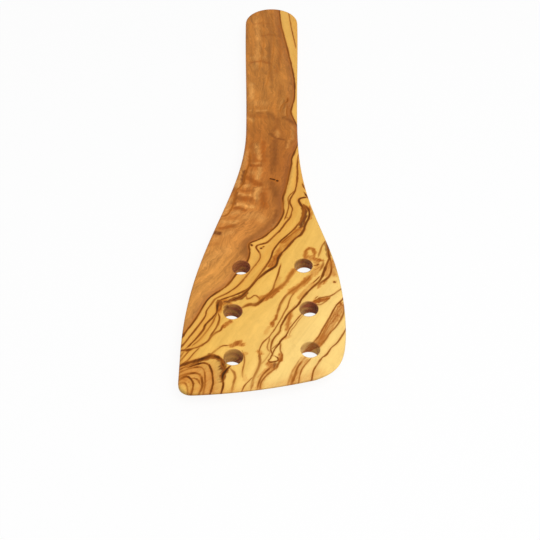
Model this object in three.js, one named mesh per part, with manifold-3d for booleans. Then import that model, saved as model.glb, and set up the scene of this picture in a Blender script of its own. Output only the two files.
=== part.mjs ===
// A flat wooden spatula, cut and carved from one board of olive wood.
// The blade flares out of the handle, leans to the left and is drilled with drain holes.
// Units are millimetres, +Z is up, and the blade points towards -Y.
// The origin is on the flat underside, on the handle's centre line, half way along the board.
import * as THREE from "three";
import { mergeVertices } from "three/addons/utils/BufferGeometryUtils.js";
import Module from "manifold-3d";

const wasm = await Module();
wasm.setup();

// Board
const BOARD_THICKNESS = 8.5;
const EDGE_ROUND = 1.5;

// Handle: from the neck, where the board is narrowest, to its rounded free end
const HANDLE_LENGTH = 118.8;
const NECK_WIDTH = 29.5;
const HANDLE_END_WIDTH = 33;
const HANDLE_CROWN_LENGTH = 15;

// Blade: heights are taken from its lowest point, reaches from the handle's centre line
const BLADE_LENGTH = 181.2;
const LEFT_REACH = 43.6;
const LEFT_WIDEST_HEIGHT = 23.2;
const RIGHT_REACH = 35.75;
const RIGHT_WIDEST_HEIGHT = 43.2;

// Flanks: how far each S-shaped side holds its direction at the neck and at the blade
const LEFT_NECK_PULL = 55;
const LEFT_BLADE_PULL = 68;
const RIGHT_NECK_PULL = 74;
const RIGHT_BLADE_PULL = 57.5;

// Front edge: a shallow bow that climbs from a small left corner to a wide right corner
const LEFT_CORNER_RADIUS = 6.8;
const FRONT_END_REACH = 20.3;
const FRONT_RISE = 8.6;
const RIGHT_CORNER_FRONT_PULL = 11;
const RIGHT_CORNER_SIDE_PULL = 25.5;

// Bevel: the underside eases out of its flat and climbs to a thin working edge, in one facet along
// the front and another across the right corner, each touching its curve at a place from 0 to 1
const FRONT_EDGE_THICKNESS = 1;
const BEVEL_LENGTH = 24;
const BEVEL_EASE = 9;
const FRONT_FACET_PLACE = 0.5;
const CORNER_FACET_PLACE = 0.3;

// Drain holes, drilled by hand: where each enters the top face, from the centre line and from the
// blade's lowest point, and how far it has drifted to the right and leaned towards the handle by the
// time it leaves the underside
const HOLE_DIAMETER = 9;
const HOLE_RIM_EASE = 0.5;
const DRAIN_HOLES = [
  { x: -18.3, height: 20.7, drift: -1, lean: -1.5 },
  { x: 18.1, height: 25.1, drift: -0.9, lean: -0.3 },
  { x: -19.2, height: 48.1, drift: -1.2, lean: -0.8 },
  { x: 17.9, height: 49.8, drift: 1.2, lean: -0.5 },
  { x: -15.7, height: 76.8, drift: 0, lean: -0.7 },
  { x: 15.9, height: 78, drift: 0.8, lean: 1.2 },
];

// How finely round stretches are divided, and how far the cutters run past the board
const OUTLINE_STEPS = 14;
const EDGE_STEPS = 3;
const HOLE_STEPS = 36;
const CUT_MARGIN = 5;

// Reach of a Bezier curve's handle for a quarter circle of radius 1
const QUARTER_ARC = 0.5523;

const BOARD_LENGTH = BLADE_LENGTH + HANDLE_LENGTH;
const FRONT_START = new THREE.Vector2(LEFT_CORNER_RADIUS - LEFT_REACH, 0);
const FRONT_END = new THREE.Vector2(FRONT_END_REACH, FRONT_RISE);
const FRONT_BEND = new THREE.Vector2((FRONT_START.x + FRONT_END.x) / 2, 0);

// The front edge and the right corner, which the outline and the bevel both follow
const FRONT_EDGE = new THREE.QuadraticBezierCurve(FRONT_START, FRONT_BEND, FRONT_END);
const RIGHT_CORNER = new THREE.CubicBezierCurve(
  FRONT_END,
  FRONT_EDGE.getTangent(1).multiplyScalar(RIGHT_CORNER_FRONT_PULL).add(FRONT_END),
  new THREE.Vector2(RIGHT_REACH, RIGHT_WIDEST_HEIGHT - RIGHT_CORNER_SIDE_PULL),
  new THREE.Vector2(RIGHT_REACH, RIGHT_WIDEST_HEIGHT),
);

// The outline seen from above, from the neck down the left side and round to the neck again.
function boardOutline() {
  const neck = NECK_WIDTH / 2;
  const end = HANDLE_END_WIDTH / 2;
  const crownStart = BOARD_LENGTH - HANDLE_CROWN_LENGTH;
  const crownSide = crownStart + HANDLE_CROWN_LENGTH * QUARTER_ARC;
  const crownTop = end * QUARTER_ARC;
  const handlePull = (crownStart - BLADE_LENGTH) / 3;
  const cornerPull = LEFT_CORNER_RADIUS * (1 - QUARTER_ARC);

  const outline = new THREE.Shape();
  outline.moveTo(-neck, BLADE_LENGTH);
  outline.bezierCurveTo(
    -neck, BLADE_LENGTH - LEFT_NECK_PULL,
    -LEFT_REACH, LEFT_WIDEST_HEIGHT + LEFT_BLADE_PULL,
    -LEFT_REACH, LEFT_WIDEST_HEIGHT,
  );
  outline.lineTo(-LEFT_REACH, LEFT_CORNER_RADIUS);
  outline.bezierCurveTo(
    -LEFT_REACH, cornerPull,
    -LEFT_REACH + cornerPull, FRONT_START.y,
    FRONT_START.x, FRONT_START.y,
  );
  outline.curves.push(FRONT_EDGE, RIGHT_CORNER);
  outline.currentPoint.copy(RIGHT_CORNER.v3);
  outline.bezierCurveTo(
    RIGHT_REACH, RIGHT_WIDEST_HEIGHT + RIGHT_BLADE_PULL,
    neck, BLADE_LENGTH - RIGHT_NECK_PULL,
    neck, BLADE_LENGTH,
  );
  outline.bezierCurveTo(neck, BLADE_LENGTH + handlePull, end, crownStart - handlePull, end, crownStart);
  outline.bezierCurveTo(end, crownSide, crownTop, BOARD_LENGTH, 0, BOARD_LENGTH);
  outline.bezierCurveTo(-crownTop, BOARD_LENGTH, -end, crownSide, -end, crownStart);
  outline.bezierCurveTo(-end, crownStart - handlePull, -neck, BLADE_LENGTH + handlePull, -neck, BLADE_LENGTH);
  return outline;
}

// The whole board with rounded edges, standing on its underside at z = 0.
function boardGeometry() {
  const round = Math.min(EDGE_ROUND, BOARD_THICKNESS / 3);
  const geometry = new THREE.ExtrudeGeometry(boardOutline(), {
    depth: BOARD_THICKNESS - 2 * round,
    curveSegments: OUTLINE_STEPS,
    bevelThickness: round,
    bevelSize: round,
    bevelOffset: -round,
    bevelSegments: EDGE_STEPS,
  });
  return geometry.translate(0, 0, round);
}

// The waste under one facet of the bevel. Its section leaves the flat underside smoothly and climbs
// to the working edge, and it is carried straight on along an edge that it touches at one point.
function bevelWaste(edge, place) {
  const climb = BOARD_THICKNESS - FRONT_EDGE_THICKNESS;
  const easeStart = BEVEL_LENGTH - BEVEL_EASE;
  const section = new THREE.Shape();
  section.moveTo(-CUT_MARGIN, -CUT_MARGIN);
  section.lineTo(BEVEL_LENGTH, -CUT_MARGIN);
  section.lineTo(BEVEL_LENGTH, 0);
  section.quadraticCurveTo(easeStart, 0, 0, climb);
  section.lineTo(-CUT_MARGIN, climb + (CUT_MARGIN * climb) / easeStart);

  const run = 2 * (LEFT_REACH + RIGHT_REACH);
  const geometry = new THREE.ExtrudeGeometry(section, {
    depth: run,
    curveSegments: OUTLINE_STEPS,
    bevelEnabled: false,
  });
  const touch = edge.getPoint(place);
  const along = edge.getTangent(place);
  const placing = new THREE.Matrix4().makeBasis(
    new THREE.Vector3(-along.y, along.x, 0),
    new THREE.Vector3(0, 0, 1),
    new THREE.Vector3(along.x, along.y, 0),
  );
  geometry.translate(0, 0, -run / 2).applyMatrix4(placing);
  return geometry.translate(touch.x, touch.y, 0);
}

// The waste of one drain hole: a drill with a flare at both faces, which enters the top face at
// its place on the blade and wanders on its way down.
function holeWaste({ x, height, drift, lean }) {
  const radius = HOLE_DIAMETER / 2;
  const flared = radius + HOLE_RIM_EASE + CUT_MARGIN;
  const section = [
    new THREE.Vector2(0, -CUT_MARGIN),
    new THREE.Vector2(flared, -CUT_MARGIN),
    new THREE.Vector2(radius, HOLE_RIM_EASE),
    new THREE.Vector2(radius, BOARD_THICKNESS - HOLE_RIM_EASE),
    new THREE.Vector2(flared, BOARD_THICKNESS + CUT_MARGIN),
    new THREE.Vector2(0, BOARD_THICKNESS + CUT_MARGIN),
  ];
  const perRise = -1 / BOARD_THICKNESS;
  const wandering = new THREE.Matrix4().makeShear(0, 0, 0, 0, drift * perRise, lean * perRise);
  const geometry = new THREE.LatheGeometry(section, HOLE_STEPS).rotateX(Math.PI / 2);
  return geometry.applyMatrix4(wandering).translate(x + drift, height + lean, 0);
}

// A closed geometry as a solid that can be cut.
function toSolid(geometry) {
  geometry.deleteAttribute("normal");
  geometry.deleteAttribute("uv");
  const merged = mergeVertices(geometry);
  return new wasm.Manifold(new wasm.Mesh({
    numProp: 3,
    vertProperties: new Float32Array(merged.getAttribute("position").array),
    triVerts: new Uint32Array(merged.getIndex().array),
  }));
}

// A solid as a geometry with flat-shaded faces.
function toGeometry(solid) {
  const { vertProperties, triVerts } = solid.getMesh();
  const indexed = new THREE.BufferGeometry();
  indexed.setAttribute("position", new THREE.BufferAttribute(vertProperties, 3));
  indexed.setIndex(new THREE.BufferAttribute(triVerts, 1));
  const geometry = indexed.toNonIndexed();
  geometry.computeVertexNormals();
  return geometry;
}

// The carved spatula, placed so that the middle of its length is at the origin.
function makeSpatula() {
  const wastes = [
    bevelWaste(FRONT_EDGE, FRONT_FACET_PLACE),
    bevelWaste(RIGHT_CORNER, CORNER_FACET_PLACE),
    ...DRAIN_HOLES.map(holeWaste),
  ];
  const board = toSolid(boardGeometry());
  const carved = wastes.reduce((solid, waste) => solid.subtract(toSolid(waste)), board);
  const oiledOlive = new THREE.MeshStandardMaterial({ color: 0xe2ad62, roughness: 0.5, metalness: 0 });
  const spatula = new THREE.Mesh(toGeometry(carved), oiledOlive);
  spatula.name = "spatula";
  spatula.position.y = -BOARD_LENGTH / 2;
  return spatula;
}

const model = new THREE.Group();
model.add(makeSpatula());

export default model;
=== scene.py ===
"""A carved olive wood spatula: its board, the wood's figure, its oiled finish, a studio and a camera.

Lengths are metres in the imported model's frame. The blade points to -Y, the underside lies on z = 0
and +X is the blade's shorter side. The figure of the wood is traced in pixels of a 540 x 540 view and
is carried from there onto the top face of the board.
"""
import logging
import math
from dataclasses import dataclass
from enum import Enum
from typing import Any, Sequence

import bpy
import numpy as np
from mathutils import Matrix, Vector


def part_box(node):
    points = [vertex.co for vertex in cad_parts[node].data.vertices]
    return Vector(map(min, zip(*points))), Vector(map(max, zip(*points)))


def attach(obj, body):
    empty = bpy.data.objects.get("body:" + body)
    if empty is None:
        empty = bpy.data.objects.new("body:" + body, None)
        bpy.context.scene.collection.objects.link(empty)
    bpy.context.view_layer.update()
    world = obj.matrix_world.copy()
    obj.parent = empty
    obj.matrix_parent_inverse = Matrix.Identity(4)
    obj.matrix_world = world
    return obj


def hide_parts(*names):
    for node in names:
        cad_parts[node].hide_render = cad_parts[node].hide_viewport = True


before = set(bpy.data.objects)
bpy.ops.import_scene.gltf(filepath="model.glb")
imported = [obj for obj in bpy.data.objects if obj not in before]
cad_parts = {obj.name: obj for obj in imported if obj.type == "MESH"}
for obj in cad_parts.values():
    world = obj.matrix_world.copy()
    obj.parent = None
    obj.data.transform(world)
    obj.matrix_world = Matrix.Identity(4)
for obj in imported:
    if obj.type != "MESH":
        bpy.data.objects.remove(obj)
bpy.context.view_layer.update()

LOG = logging.getLogger("spatula")
MILLIMETRE = 0.001

# Most drops onto a path that are worked out at once, and the least square length of a span
DROPS_AT_ONCE = 3_000_000
TINY = 1e-12

Pixel = tuple[float, float]
Place = tuple[float, float, float]
Colour = tuple[float, float, float, float]
Stops = tuple[tuple[float, Colour], ...]


def srgb(red: int, green: int, blue: int) -> Colour:
    """A colour picked on a screen, as the linear colour that shaders take, by the sRGB curve.

    Args:
        red: Red as the screen shows it, from 0 to 255.
        green: Green as the screen shows it.
        blue: Blue as the screen shows it.

    Returns:
        The linear red, green and blue, and an alpha of 1.
    """
    shares = np.array([red, green, blue]) / 255
    linear = np.where(shares <= 0.04045, shares / 12.92, ((shares + 0.055) / 1.055) ** 2.4)
    return (*(float(share) for share in linear), 1.0)


def bezier(points: Sequence[Sequence[float]], steps: int) -> np.ndarray:
    """Places along a Bezier curve.

    Each place is the sum of the control points, each weighted by its Bernstein polynomial.

    Args:
        points: Control points, from the curve's start to its end.
        steps: Number of spans between the places.

    Returns:
        Places of shape (steps + 1, 2).
    """
    share = np.linspace(0, 1, steps + 1)[:, None]
    order = len(points) - 1
    weights = [math.comb(order, k) * share**k * (1 - share) ** (order - k) for k in range(order + 1)]
    return sum(weight * np.asarray(point) for weight, point in zip(weights, points))


def flowing(points: np.ndarray, steps: int) -> np.ndarray:
    """A Catmull-Rom curve: between two points a cubic that heads along the chord of their neighbours.

    Args:
        points: Points that the curve passes through, of shape (n, 2).
        steps: Number of places on each span.

    Returns:
        Places of shape ((n - 1) * steps + 1, 2).
    """
    before = 2 * points[:1] - points[1:2]
    after = 2 * points[-1:] - points[-2:-1]
    padded = np.concatenate([before, points, after])[:, None]
    a, b, c, d = padded[:-3], padded[1:-2], padded[2:-1], padded[3:]
    t = np.linspace(0, 1, steps, endpoint=False)[None, :, None]
    spans = b + (c - a) / 2 * t + (a - 2.5 * b + 2 * c - d / 2) * t**2 + (1.5 * (b - c) + (d - a) / 2) * t**3
    return np.concatenate([spans.reshape(-1, 2), points[-1:]])


@dataclass(frozen=True)
class Nearest:
    """Where each of many points is nearest to a path.

    Attributes:
        distance: Distance to the path.
        side: +1 where the point lies to the right of the path's heading, and -1 to its left.
        along: Length of the path up to the nearest place.
    """

    distance: np.ndarray
    side: np.ndarray
    along: np.ndarray


def nearest(points: np.ndarray, path: np.ndarray) -> Nearest:
    """Finds each point's nearest place on a path of straight spans.

    A point is dropped square onto every span, held to the span's ends, and the shortest drop wins.

    Args:
        points: Points of shape (n, 2).
        path: Corners of the path, of shape (m, 2).

    Returns:
        The distance, side and place along the path of each point.
    """
    start, span = path[:-1], np.diff(path, axis=0)
    length = np.hypot(*span.T)
    reached = np.concatenate([[0], np.cumsum(length)[:-1]])
    found: list[np.ndarray] = []
    for block in np.array_split(points, 1 + len(points) * len(span) // DROPS_AT_ONCE):
        offset = block[:, None] - start
        share = np.clip((offset * span).sum(2) / np.maximum(length**2, TINY), 0, 1)
        drop = np.hypot(*np.moveaxis(offset - share[..., None] * span, 2, 0))
        row, best = np.arange(len(block)), drop.argmin(1)
        cross = span[best, 1] * offset[row, best, 0] - span[best, 0] * offset[row, best, 1]
        along = reached[best] + share[row, best] * length[best]
        found.append(np.stack([drop[row, best], np.where(cross >= 0, 1, -1), along]))
    return Nearest(*np.concatenate(found, axis=1))


def fade(value: np.ndarray, full: float, gone: float) -> np.ndarray:
    """A smooth step that is 1 below full and 0 above gone: 3 t^2 - 2 t^3 of the share left between them."""
    share = np.clip((gone - value) / (gone - full), 0, 1)
    return share * share * (3 - 2 * share)


@dataclass(frozen=True)
class PhotoView:
    """The pinhole view of the board, level, from in front of the blade and above it.

    Attributes:
        frame_size: Width and height of the picture, in pixels.
        focal: Distance from the pinhole to the picture, in pixels.
        elevation: Height of the camera above the horizon, in radians.
        distance: Distance from the camera to the aim.
        aim: Point on the top face that the picture's centre shows.
        sensor: Width of the camera's sensor, in millimetres.
    """

    frame_size: int = 540
    focal: float = 1028.6
    elevation: float = math.radians(49)
    distance: float = 0.520
    aim: Place = (-0.001, -0.07507, 0.0085)
    sensor: float = 36.0

    def on_face(self, pixels: Sequence[Pixel]) -> np.ndarray:
        """Carries pixels onto the level plane of the top face.

        With d the pixel's height over the centre, the place lies d * distance / (focal * sin - d * cos)
        beyond the aim, and sideways the pixel's reach grows with the depth of that place.

        Args:
            pixels: Pixels as (right, down) from the picture's upper left corner.

        Returns:
            Places on the face as (x, y), of shape (n, 2).
        """
        right, up = (np.asarray(pixels, float) - self.frame_size / 2).T * [[1], [-1]]
        lean, rise = math.cos(self.elevation), math.sin(self.elevation)
        beyond = up * self.distance / (self.focal * rise - up * lean)
        sideways = right * (self.distance + beyond * lean) / self.focal
        return np.stack([self.aim[0] + sideways, self.aim[1] + beyond], axis=1)

    def add_camera(self) -> bpy.types.Object:
        """Adds the scene's camera, which sees the board as the picture does.

        Returns:
            The camera's object.
        """
        lens = bpy.data.cameras.new("photo_camera")
        lens.sensor_width = self.sensor
        lens.lens = self.focal / self.frame_size * self.sensor
        camera = bpy.data.objects.new("photo_camera", lens)
        back = self.distance * math.cos(self.elevation)
        above = self.distance * math.sin(self.elevation)
        camera.location = (self.aim[0], self.aim[1] - back, self.aim[2] + above)
        camera.rotation_euler = (math.pi / 2 - self.elevation, 0, 0)
        bpy.context.scene.collection.objects.link(camera)
        bpy.context.scene.camera = camera
        return camera


class Tone(Enum):
    """Washes of colour in the wood, each a channel of the board's tone."""

    STAIN = 1
    SHADE = 2
    PALE = 3


@dataclass(frozen=True)
class Stroke:
    """A line or a patch of another colour in the wood.

    Attributes:
        width: Width of the line or patch, in pixels.
        strength: Darkness of a line, or how much of a patch's colour shows, from 0 to 1.
        route: Pixels that its middle passes through.
    """

    width: float
    strength: float
    route: tuple[Pixel, ...]


# The line between heartwood and sapwood, from the handle's end to the left side of the blade
HEART_EDGE = Stroke(2.0, 0.74, (
    (279, 6), (281, 24), (286, 44), (291, 64), (294.2, 80), (294.6, 92), (294.1, 100), (291.4, 108.4),
    (290.6, 112.3), (293.5, 118.7), (296.6, 124.8), (299.4, 130), (300, 138), (297.3, 146), (294.2, 152.6),
    (291.6, 159), (291.3, 164.5), (288.9, 175.7), (286.7, 186.4), (284, 194.3), (282.8, 198.6),
    (283.6, 209), (282.6, 215.5), (277, 225), (267.6, 234), (259.2, 239.4), (251, 242.4), (248.7, 245),
    (249.7, 252), (248, 259.7), (242, 268), (235.6, 274.7), (230.8, 281.5), (224.3, 287.8), (214.3, 294.2),
    (208.6, 298.8), (204.6, 304.2), (199.3, 313.1), (193.2, 322.4), (186.4, 331), (180, 340), (172, 352),
))

# The grain's general run, a smoothed heart edge that goes on past both ends of the board
GRAIN_RUN: tuple[Pixel, ...] = (
    (284, -6), (292, 60), (296, 120), (292, 165), (281, 210), (258, 246), (232, 277), (205, 305),
    (182, 338), (158, 372), (132, 410),
)

# The dark lines, sorted into layers in this order
VEINS: dict[str, Stroke] = {
    "heart_edge": HEART_EDGE,
    "second": Stroke(1.9, 0.62, (
        (299.5, 153), (298.1, 157.9), (297.3, 166), (297.4, 174), (296.4, 185.7), (294.6, 191.5),
        (290.3, 199), (289.8, 203), (292.5, 208.5), (291.6, 213), (290, 217.6), (285.8, 222.4),
        (280.9, 229.2), (275.2, 235), (267.6, 242), (262, 243.9), (257.2, 245.4), (256.2, 248),
        (259.2, 252.2), (260.4, 256.4), (259, 260.2), (254.6, 266.1), (246.7, 275.4), (238.2, 285.3),
        (228.6, 292.4), (218.6, 297.1), (214.3, 299.9), (209.8, 306.3), (206.3, 311.4), (205.6, 315.4),
        (199.8, 324), (191.8, 334), (185.4, 342.1), (179.5, 349),
    )),
    "second_twin": Stroke(1.6, 0.52, (
        (295, 190.4), (289.6, 195.7), (288, 198.6), (288.7, 206), (286.6, 214.4), (284.4, 219.5),
    )),
    "second_link": Stroke(1.3, 0.45, ((285, 218.2), (287.5, 217.8), (290.2, 218))),
    "third_left": Stroke(2.0, 0.68, (
        (309, 196.8), (303, 197.8), (299.2, 199.6), (299.2, 202.2), (301.6, 205.6), (303, 209), (303, 213),
        (301.8, 217.6), (300.3, 221.2), (297.8, 224.7), (294.8, 228.2), (290, 233), (285, 237.2),
        (280, 241.7), (275.2, 247.5), (272.5, 252.2), (271, 257.6), (268, 263), (263.8, 268.7),
        (258.9, 275.4), (254, 282), (248, 288.6), (240.6, 292.6), (232.4, 296), (225, 298.4),
        (219.3, 300.4),
    )),
    "third_top": Stroke(2.7, 0.85, (
        (307.4, 197.2), (303, 197.6), (299.6, 199), (298.8, 201), (300.6, 204.4), (303, 207.8),
    )),
    "third_right": Stroke(2.7, 0.82, (
        (303.8, 204.8), (308, 209), (309.6, 213.2), (308.6, 218.4), (306.4, 222.6), (304.6, 226.6),
        (303.8, 230), (300.8, 234.4), (296, 238), (290.4, 243.4), (285.4, 249.4), (280.8, 254.2),
        (278.2, 258), (277.4, 262), (275.4, 266.2), (271, 269), (265, 272.6), (260, 277), (256, 281),
        (251, 286.6), (245.7, 292.4), (240, 297.1), (231, 300.6),
    )),
    "third_inner": Stroke(1.6, 0.5, (
        (300.2, 228.2), (296, 231.2), (290.4, 235.4), (285.2, 239.6), (281, 243.4),
    )),
    "knot": Stroke(3.0, 0.86, ((219.8, 300.6), (218.2, 303), (217.4, 306), (217.4, 309.4), (216.6, 312.6))),
    "knot_right": Stroke(2.2, 0.5, ((220.8, 302.8), (221.4, 305.6), (220.6, 308.6), (218.4, 311.8))),
    "under_knot": Stroke(1.9, 0.72, (
        (218, 311), (213.2, 317), (209, 321), (205, 325.6), (203.6, 329.2), (198.9, 335.4), (193, 342),
        (186.6, 348),
    )),
    "under_knot_thin": Stroke(1.6, 0.55, (
        (217, 314), (215, 317.6), (213, 322), (209, 328), (204, 334.5), (199, 340), (192.4, 345.6),
    )),
    "under_knot_branch": Stroke(1.7, 0.6, (
        (218, 312.6), (219.5, 317), (219, 321), (217, 326), (214, 331), (210, 336),
    )),
    "left_middle": Stroke(2.2, 0.55, (
        (225, 325), (222, 327.2), (220.8, 330), (216, 332.6), (211, 336.6), (207.8, 341), (202, 345),
        (196.6, 347.7), (190, 348.8),
    )),
    "left_node": Stroke(3.6, 0.72, ((180.4, 350.6), (184.5, 350.2), (189.4, 349.8), (194, 348))),
    "left_fan": Stroke(1.5, 0.5, ((190.4, 349.6), (187, 353.2), (183.4, 357.2), (179.6, 362))),
    "left_fan_top": Stroke(1.4, 0.5, ((185, 350.6), (182.4, 354), (180.2, 357.6))),
    "left_fan_low": Stroke(1.5, 0.5, (
        (199.6, 347.6), (196.6, 350.6), (193, 354.2), (190, 357.8), (186.6, 361.2), (180, 365.4),
    )),
    "hood": Stroke(4.0, 0.8, (
        (222.4, 361.4), (219.6, 358.2), (214.6, 356.2), (210, 356.2), (204.8, 358), (198, 360.2),
        (190, 362.4), (178.5, 366.4),
    )),
    "hood_twin": Stroke(1.5, 0.55, ((206, 359.4), (198, 362), (190, 365), (184.7, 367.2), (178.5, 370))),
    "swirl_outer": Stroke(2.2, 0.74, (
        (187, 367.6), (191, 366.2), (197, 364.3), (201, 363.2), (205, 363.2), (208.4, 364.6),
        (210.2, 367.2), (212, 372), (213, 379), (212.9, 385), (209.6, 395),
    )),
    "swirl_thin": Stroke(1.9, 0.48, (
        (178.5, 373.2), (186, 369.6), (192, 368), (197, 367.2), (201, 367.2), (203.6, 369), (204.6, 372.4),
        (205, 379), (204.6, 386), (203, 395),
    )),
    "swirl_middle": Stroke(2.6, 0.56, (
        (178.5, 377), (184, 375), (190, 373.6), (196, 373.2), (199.8, 374.6), (201.4, 378), (202.4, 383),
        (201.8, 388), (198.4, 395),
    )),
    "swirl_inner": Stroke(2.7, 0.74, (
        (178, 380.6), (184, 377.1), (187.5, 376.7), (191, 379), (193.2, 383), (193.2, 387), (190.8, 395),
    )),
    "swirl_core": Stroke(2.4, 0.44, (
        (178.6, 384), (181.2, 383), (184.4, 383), (186.8, 385.6), (187.6, 389.6), (187.8, 394),
    )),
    "swirl_dash": Stroke(2.2, 0.6, ((192, 378.2), (195.4, 378.4), (197.8, 380), (199.6, 383.6))),
    "feather": Stroke(3.2, 0.9, ((230, 366.4), (226.4, 370), (223.2, 374), (222.6, 378.4), (223, 382))),
    "feather_tail": Stroke(1.9, 0.74, ((223, 381), (223.2, 385), (222.4, 389), (220.8, 394.5))),
    "feather_top": Stroke(3.4, 0.85, ((221.6, 361.6), (222.8, 364.4), (224.4, 367.8))),
    "front_soft": Stroke(2.5, 0.46, ((230.4, 368.4), (234, 372.8), (235, 377), (233.5, 383), (231.2, 393))),
    "front_hook": Stroke(1.9, 0.48, (
        (242.6, 351.5), (244.6, 356.6), (244.5, 362), (243, 369), (242.4, 376),
    )),
    "front_left_rim": Stroke(1.7, 0.48, ((229, 345.6), (222.4, 346), (217, 349.5), (210.6, 354.6))),
    "middle_broad": Stroke(3.8, 0.42, (
        (296, 268), (293.4, 270.4), (290, 275.2), (286, 281.8), (281, 286.5), (276, 290), (270, 294.2),
        (262.4, 298.4),
    )),
    "middle_tail": Stroke(4.2, 0.56, (
        (266, 296.4), (262, 300.2), (256.4, 304), (253, 304.8), (249, 304.6), (241.4, 308),
    )),
    "middle_thin": Stroke(2.0, 0.5, (
        (281.2, 264), (279.5, 269.2), (277.4, 276.2), (274.6, 284), (272.8, 289), (269, 293.6),
    )),
    "middle_hook": Stroke(1.8, 0.5, (
        (246.3, 295.4), (247.2, 298.9), (250.6, 298), (254, 295.5), (257, 296), (260, 299),
    )),
    "centre_first": Stroke(2.7, 0.48, (
        (311, 275), (305, 281.4), (297, 287.4), (289.4, 292.8), (286, 296), (283, 300), (280, 305.2),
        (278, 311), (276.8, 316), (275, 319.6), (271, 323.4),
    )),
    "centre_second": Stroke(1.5, 0.52, (
        (294.4, 292.6), (291, 297), (289, 302), (287.4, 307.2), (284, 313), (281.4, 318.2), (278, 324),
        (275, 329), (272, 333), (269, 337), (263.2, 342.2), (260.2, 348), (259, 352.6),
    )),
    "centre_second_low": Stroke(3.0, 0.5, (
        (259.2, 352), (259.6, 357.4), (260, 362), (258.5, 368), (256, 373.2), (253.5, 379), (250.8, 390),
    )),
    "centre_second_branch": Stroke(1.6, 0.48, (
        (269.6, 336.6), (269, 341), (267.6, 345), (267.6, 349), (270.4, 352.2),
    )),
    "centre_third": Stroke(2.0, 0.66, (
        (329.4, 257), (328.2, 260.6), (326.4, 265), (324.4, 271), (321.8, 276.6), (318.6, 282), (313, 287),
        (307.2, 292.8), (301.8, 299), (297.8, 305), (291.8, 310.6), (286.8, 315.6), (284, 320.6),
        (281, 326), (279.8, 331), (275.2, 336.8), (272.2, 341.4), (270.8, 348.4), (272, 354),
    )),
    "centre_third_broad": Stroke(3.4, 0.5, ((311, 288.8), (305.6, 294.4), (301, 300.4))),
    "centre_soft": Stroke(2.0, 0.36, ((294.6, 306), (290.6, 312.8), (289, 320), (287.8, 327.4))),
    "centre_fourth": Stroke(1.8, 0.62, (
        (302.4, 313.4), (298, 318.2), (294, 323.2), (290, 328.2), (287.9, 332.2), (285.8, 335.8),
        (281, 340.2), (278.8, 344.2), (275, 349), (272.4, 354.2), (270, 358.4),
    )),
    "centre_fifth": Stroke(1.2, 0.4, (
        (303.4, 315.2), (298.5, 320.6), (295, 326), (291.2, 330.4), (289, 335.6),
    )),
    "centre_bridge": Stroke(1.2, 0.5, ((279, 343.2), (274.4, 347), (271, 349.6))),
    "eye_ring": Stroke(1.6, 0.6, (
        (272, 355.4), (270.2, 358.6), (268.4, 360.6), (270.2, 362.2), (274.4, 361.7), (277.8, 360.6),
        (277.6, 357.8), (275.2, 356.4),
    )),
    "eye_side": Stroke(1.9, 0.45, (
        (280.8, 343), (280.4, 350), (282.2, 355), (281.5, 359), (278.6, 363), (276.4, 369),
    )),
    "eye_tail": Stroke(1.7, 0.46, ((276.2, 368.2), (270, 372.4), (265, 377.2), (261, 383), (259.8, 390))),
    "eye_tail_left": Stroke(1.9, 0.46, ((271, 367), (264.4, 373), (260, 379.8), (257.2, 389))),
    "eye_left": Stroke(1.3, 0.42, ((270.6, 352), (268, 356), (264, 361), (259.6, 365.4))),
    "front_branch": Stroke(1.5, 0.48, ((253.6, 376.6), (249, 381), (244.2, 386), (241.8, 392))),
    "right_curl": Stroke(2.9, 0.5, (
        (330.4, 260.6), (331.2, 265), (331.4, 271), (329.6, 276), (326, 279.4), (321, 282.4),
        (316.6, 285.6),
    )),
    "right_thin": Stroke(1.4, 0.52, ((319.8, 276), (316, 280), (312.6, 283))),
    "right_brown": Stroke(3.0, 0.42, ((323.6, 260.8), (323, 264), (321.4, 268), (319, 271.4))),
    "right_dark": Stroke(2.6, 0.82, ((326.2, 265), (324.6, 269.6), (322.6, 274.8), (321, 279))),
    "right_eye_upper": Stroke(1.8, 0.5, (
        (343, 288.2), (338, 291), (334, 294), (330, 296), (325, 297), (320, 298), (315, 300.8), (311, 302),
    )),
    "right_eye_lower": Stroke(1.7, 0.48, (
        (330.4, 297), (326, 301), (321, 304.4), (317, 304.5), (312.6, 302.4),
    )),
    "right_eye_thin": Stroke(1.2, 0.5, ((317.6, 296.4), (314.6, 299))),
    "right_pair_left": Stroke(1.8, 0.48, (
        (344, 297), (342, 300), (338, 303.6), (334, 309.4), (331, 315), (327, 322), (322, 330), (319, 336),
        (312.6, 343.4),
    )),
    "right_pair_right": Stroke(2.1, 0.46, (
        (340.8, 301.6), (341, 304.4), (344.4, 306.6), (343.4, 313.4), (340, 321), (335, 328), (330, 333),
        (326, 339), (319.8, 346.4),
    )),
    "right_pair_inner": Stroke(1.6, 0.36, ((326.6, 326), (323, 333.4), (318.6, 341.6))),
    "corner": Stroke(1.7, 0.55, (
        (347, 328.4), (341, 337), (337, 343), (331, 348.2), (327, 353.8), (321, 359), (317, 365),
        (313.5, 371), (311, 384),
    )),
    "front_band_left": Stroke(1.7, 0.32, ((300.4, 358.6), (295, 366.8), (291, 374), (287.4, 385))),
    "front_band_core": Stroke(2.6, 0.55, ((302, 361), (297.6, 368), (295.4, 374), (291, 384))),
    "front_band_right": Stroke(1.3, 0.44, (
        (311.2, 358), (306, 364), (302, 369.2), (300, 375), (298.2, 384),
    )),
    "upper_ring": Stroke(2.4, 0.36, (
        (304.6, 257.4), (305.2, 252.6), (307, 249.6), (310.2, 248.2), (313.2, 249.2), (314.8, 252),
        (314, 256),
    )),
    "upper_fork_left": Stroke(2.3, 0.42, ((326.2, 240), (322.2, 246), (320, 252), (318, 257.6))),
    "upper_fork_right": Stroke(2.4, 0.74, ((326.8, 241.6), (328.2, 248), (328.8, 255), (330.6, 261.6))),
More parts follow.
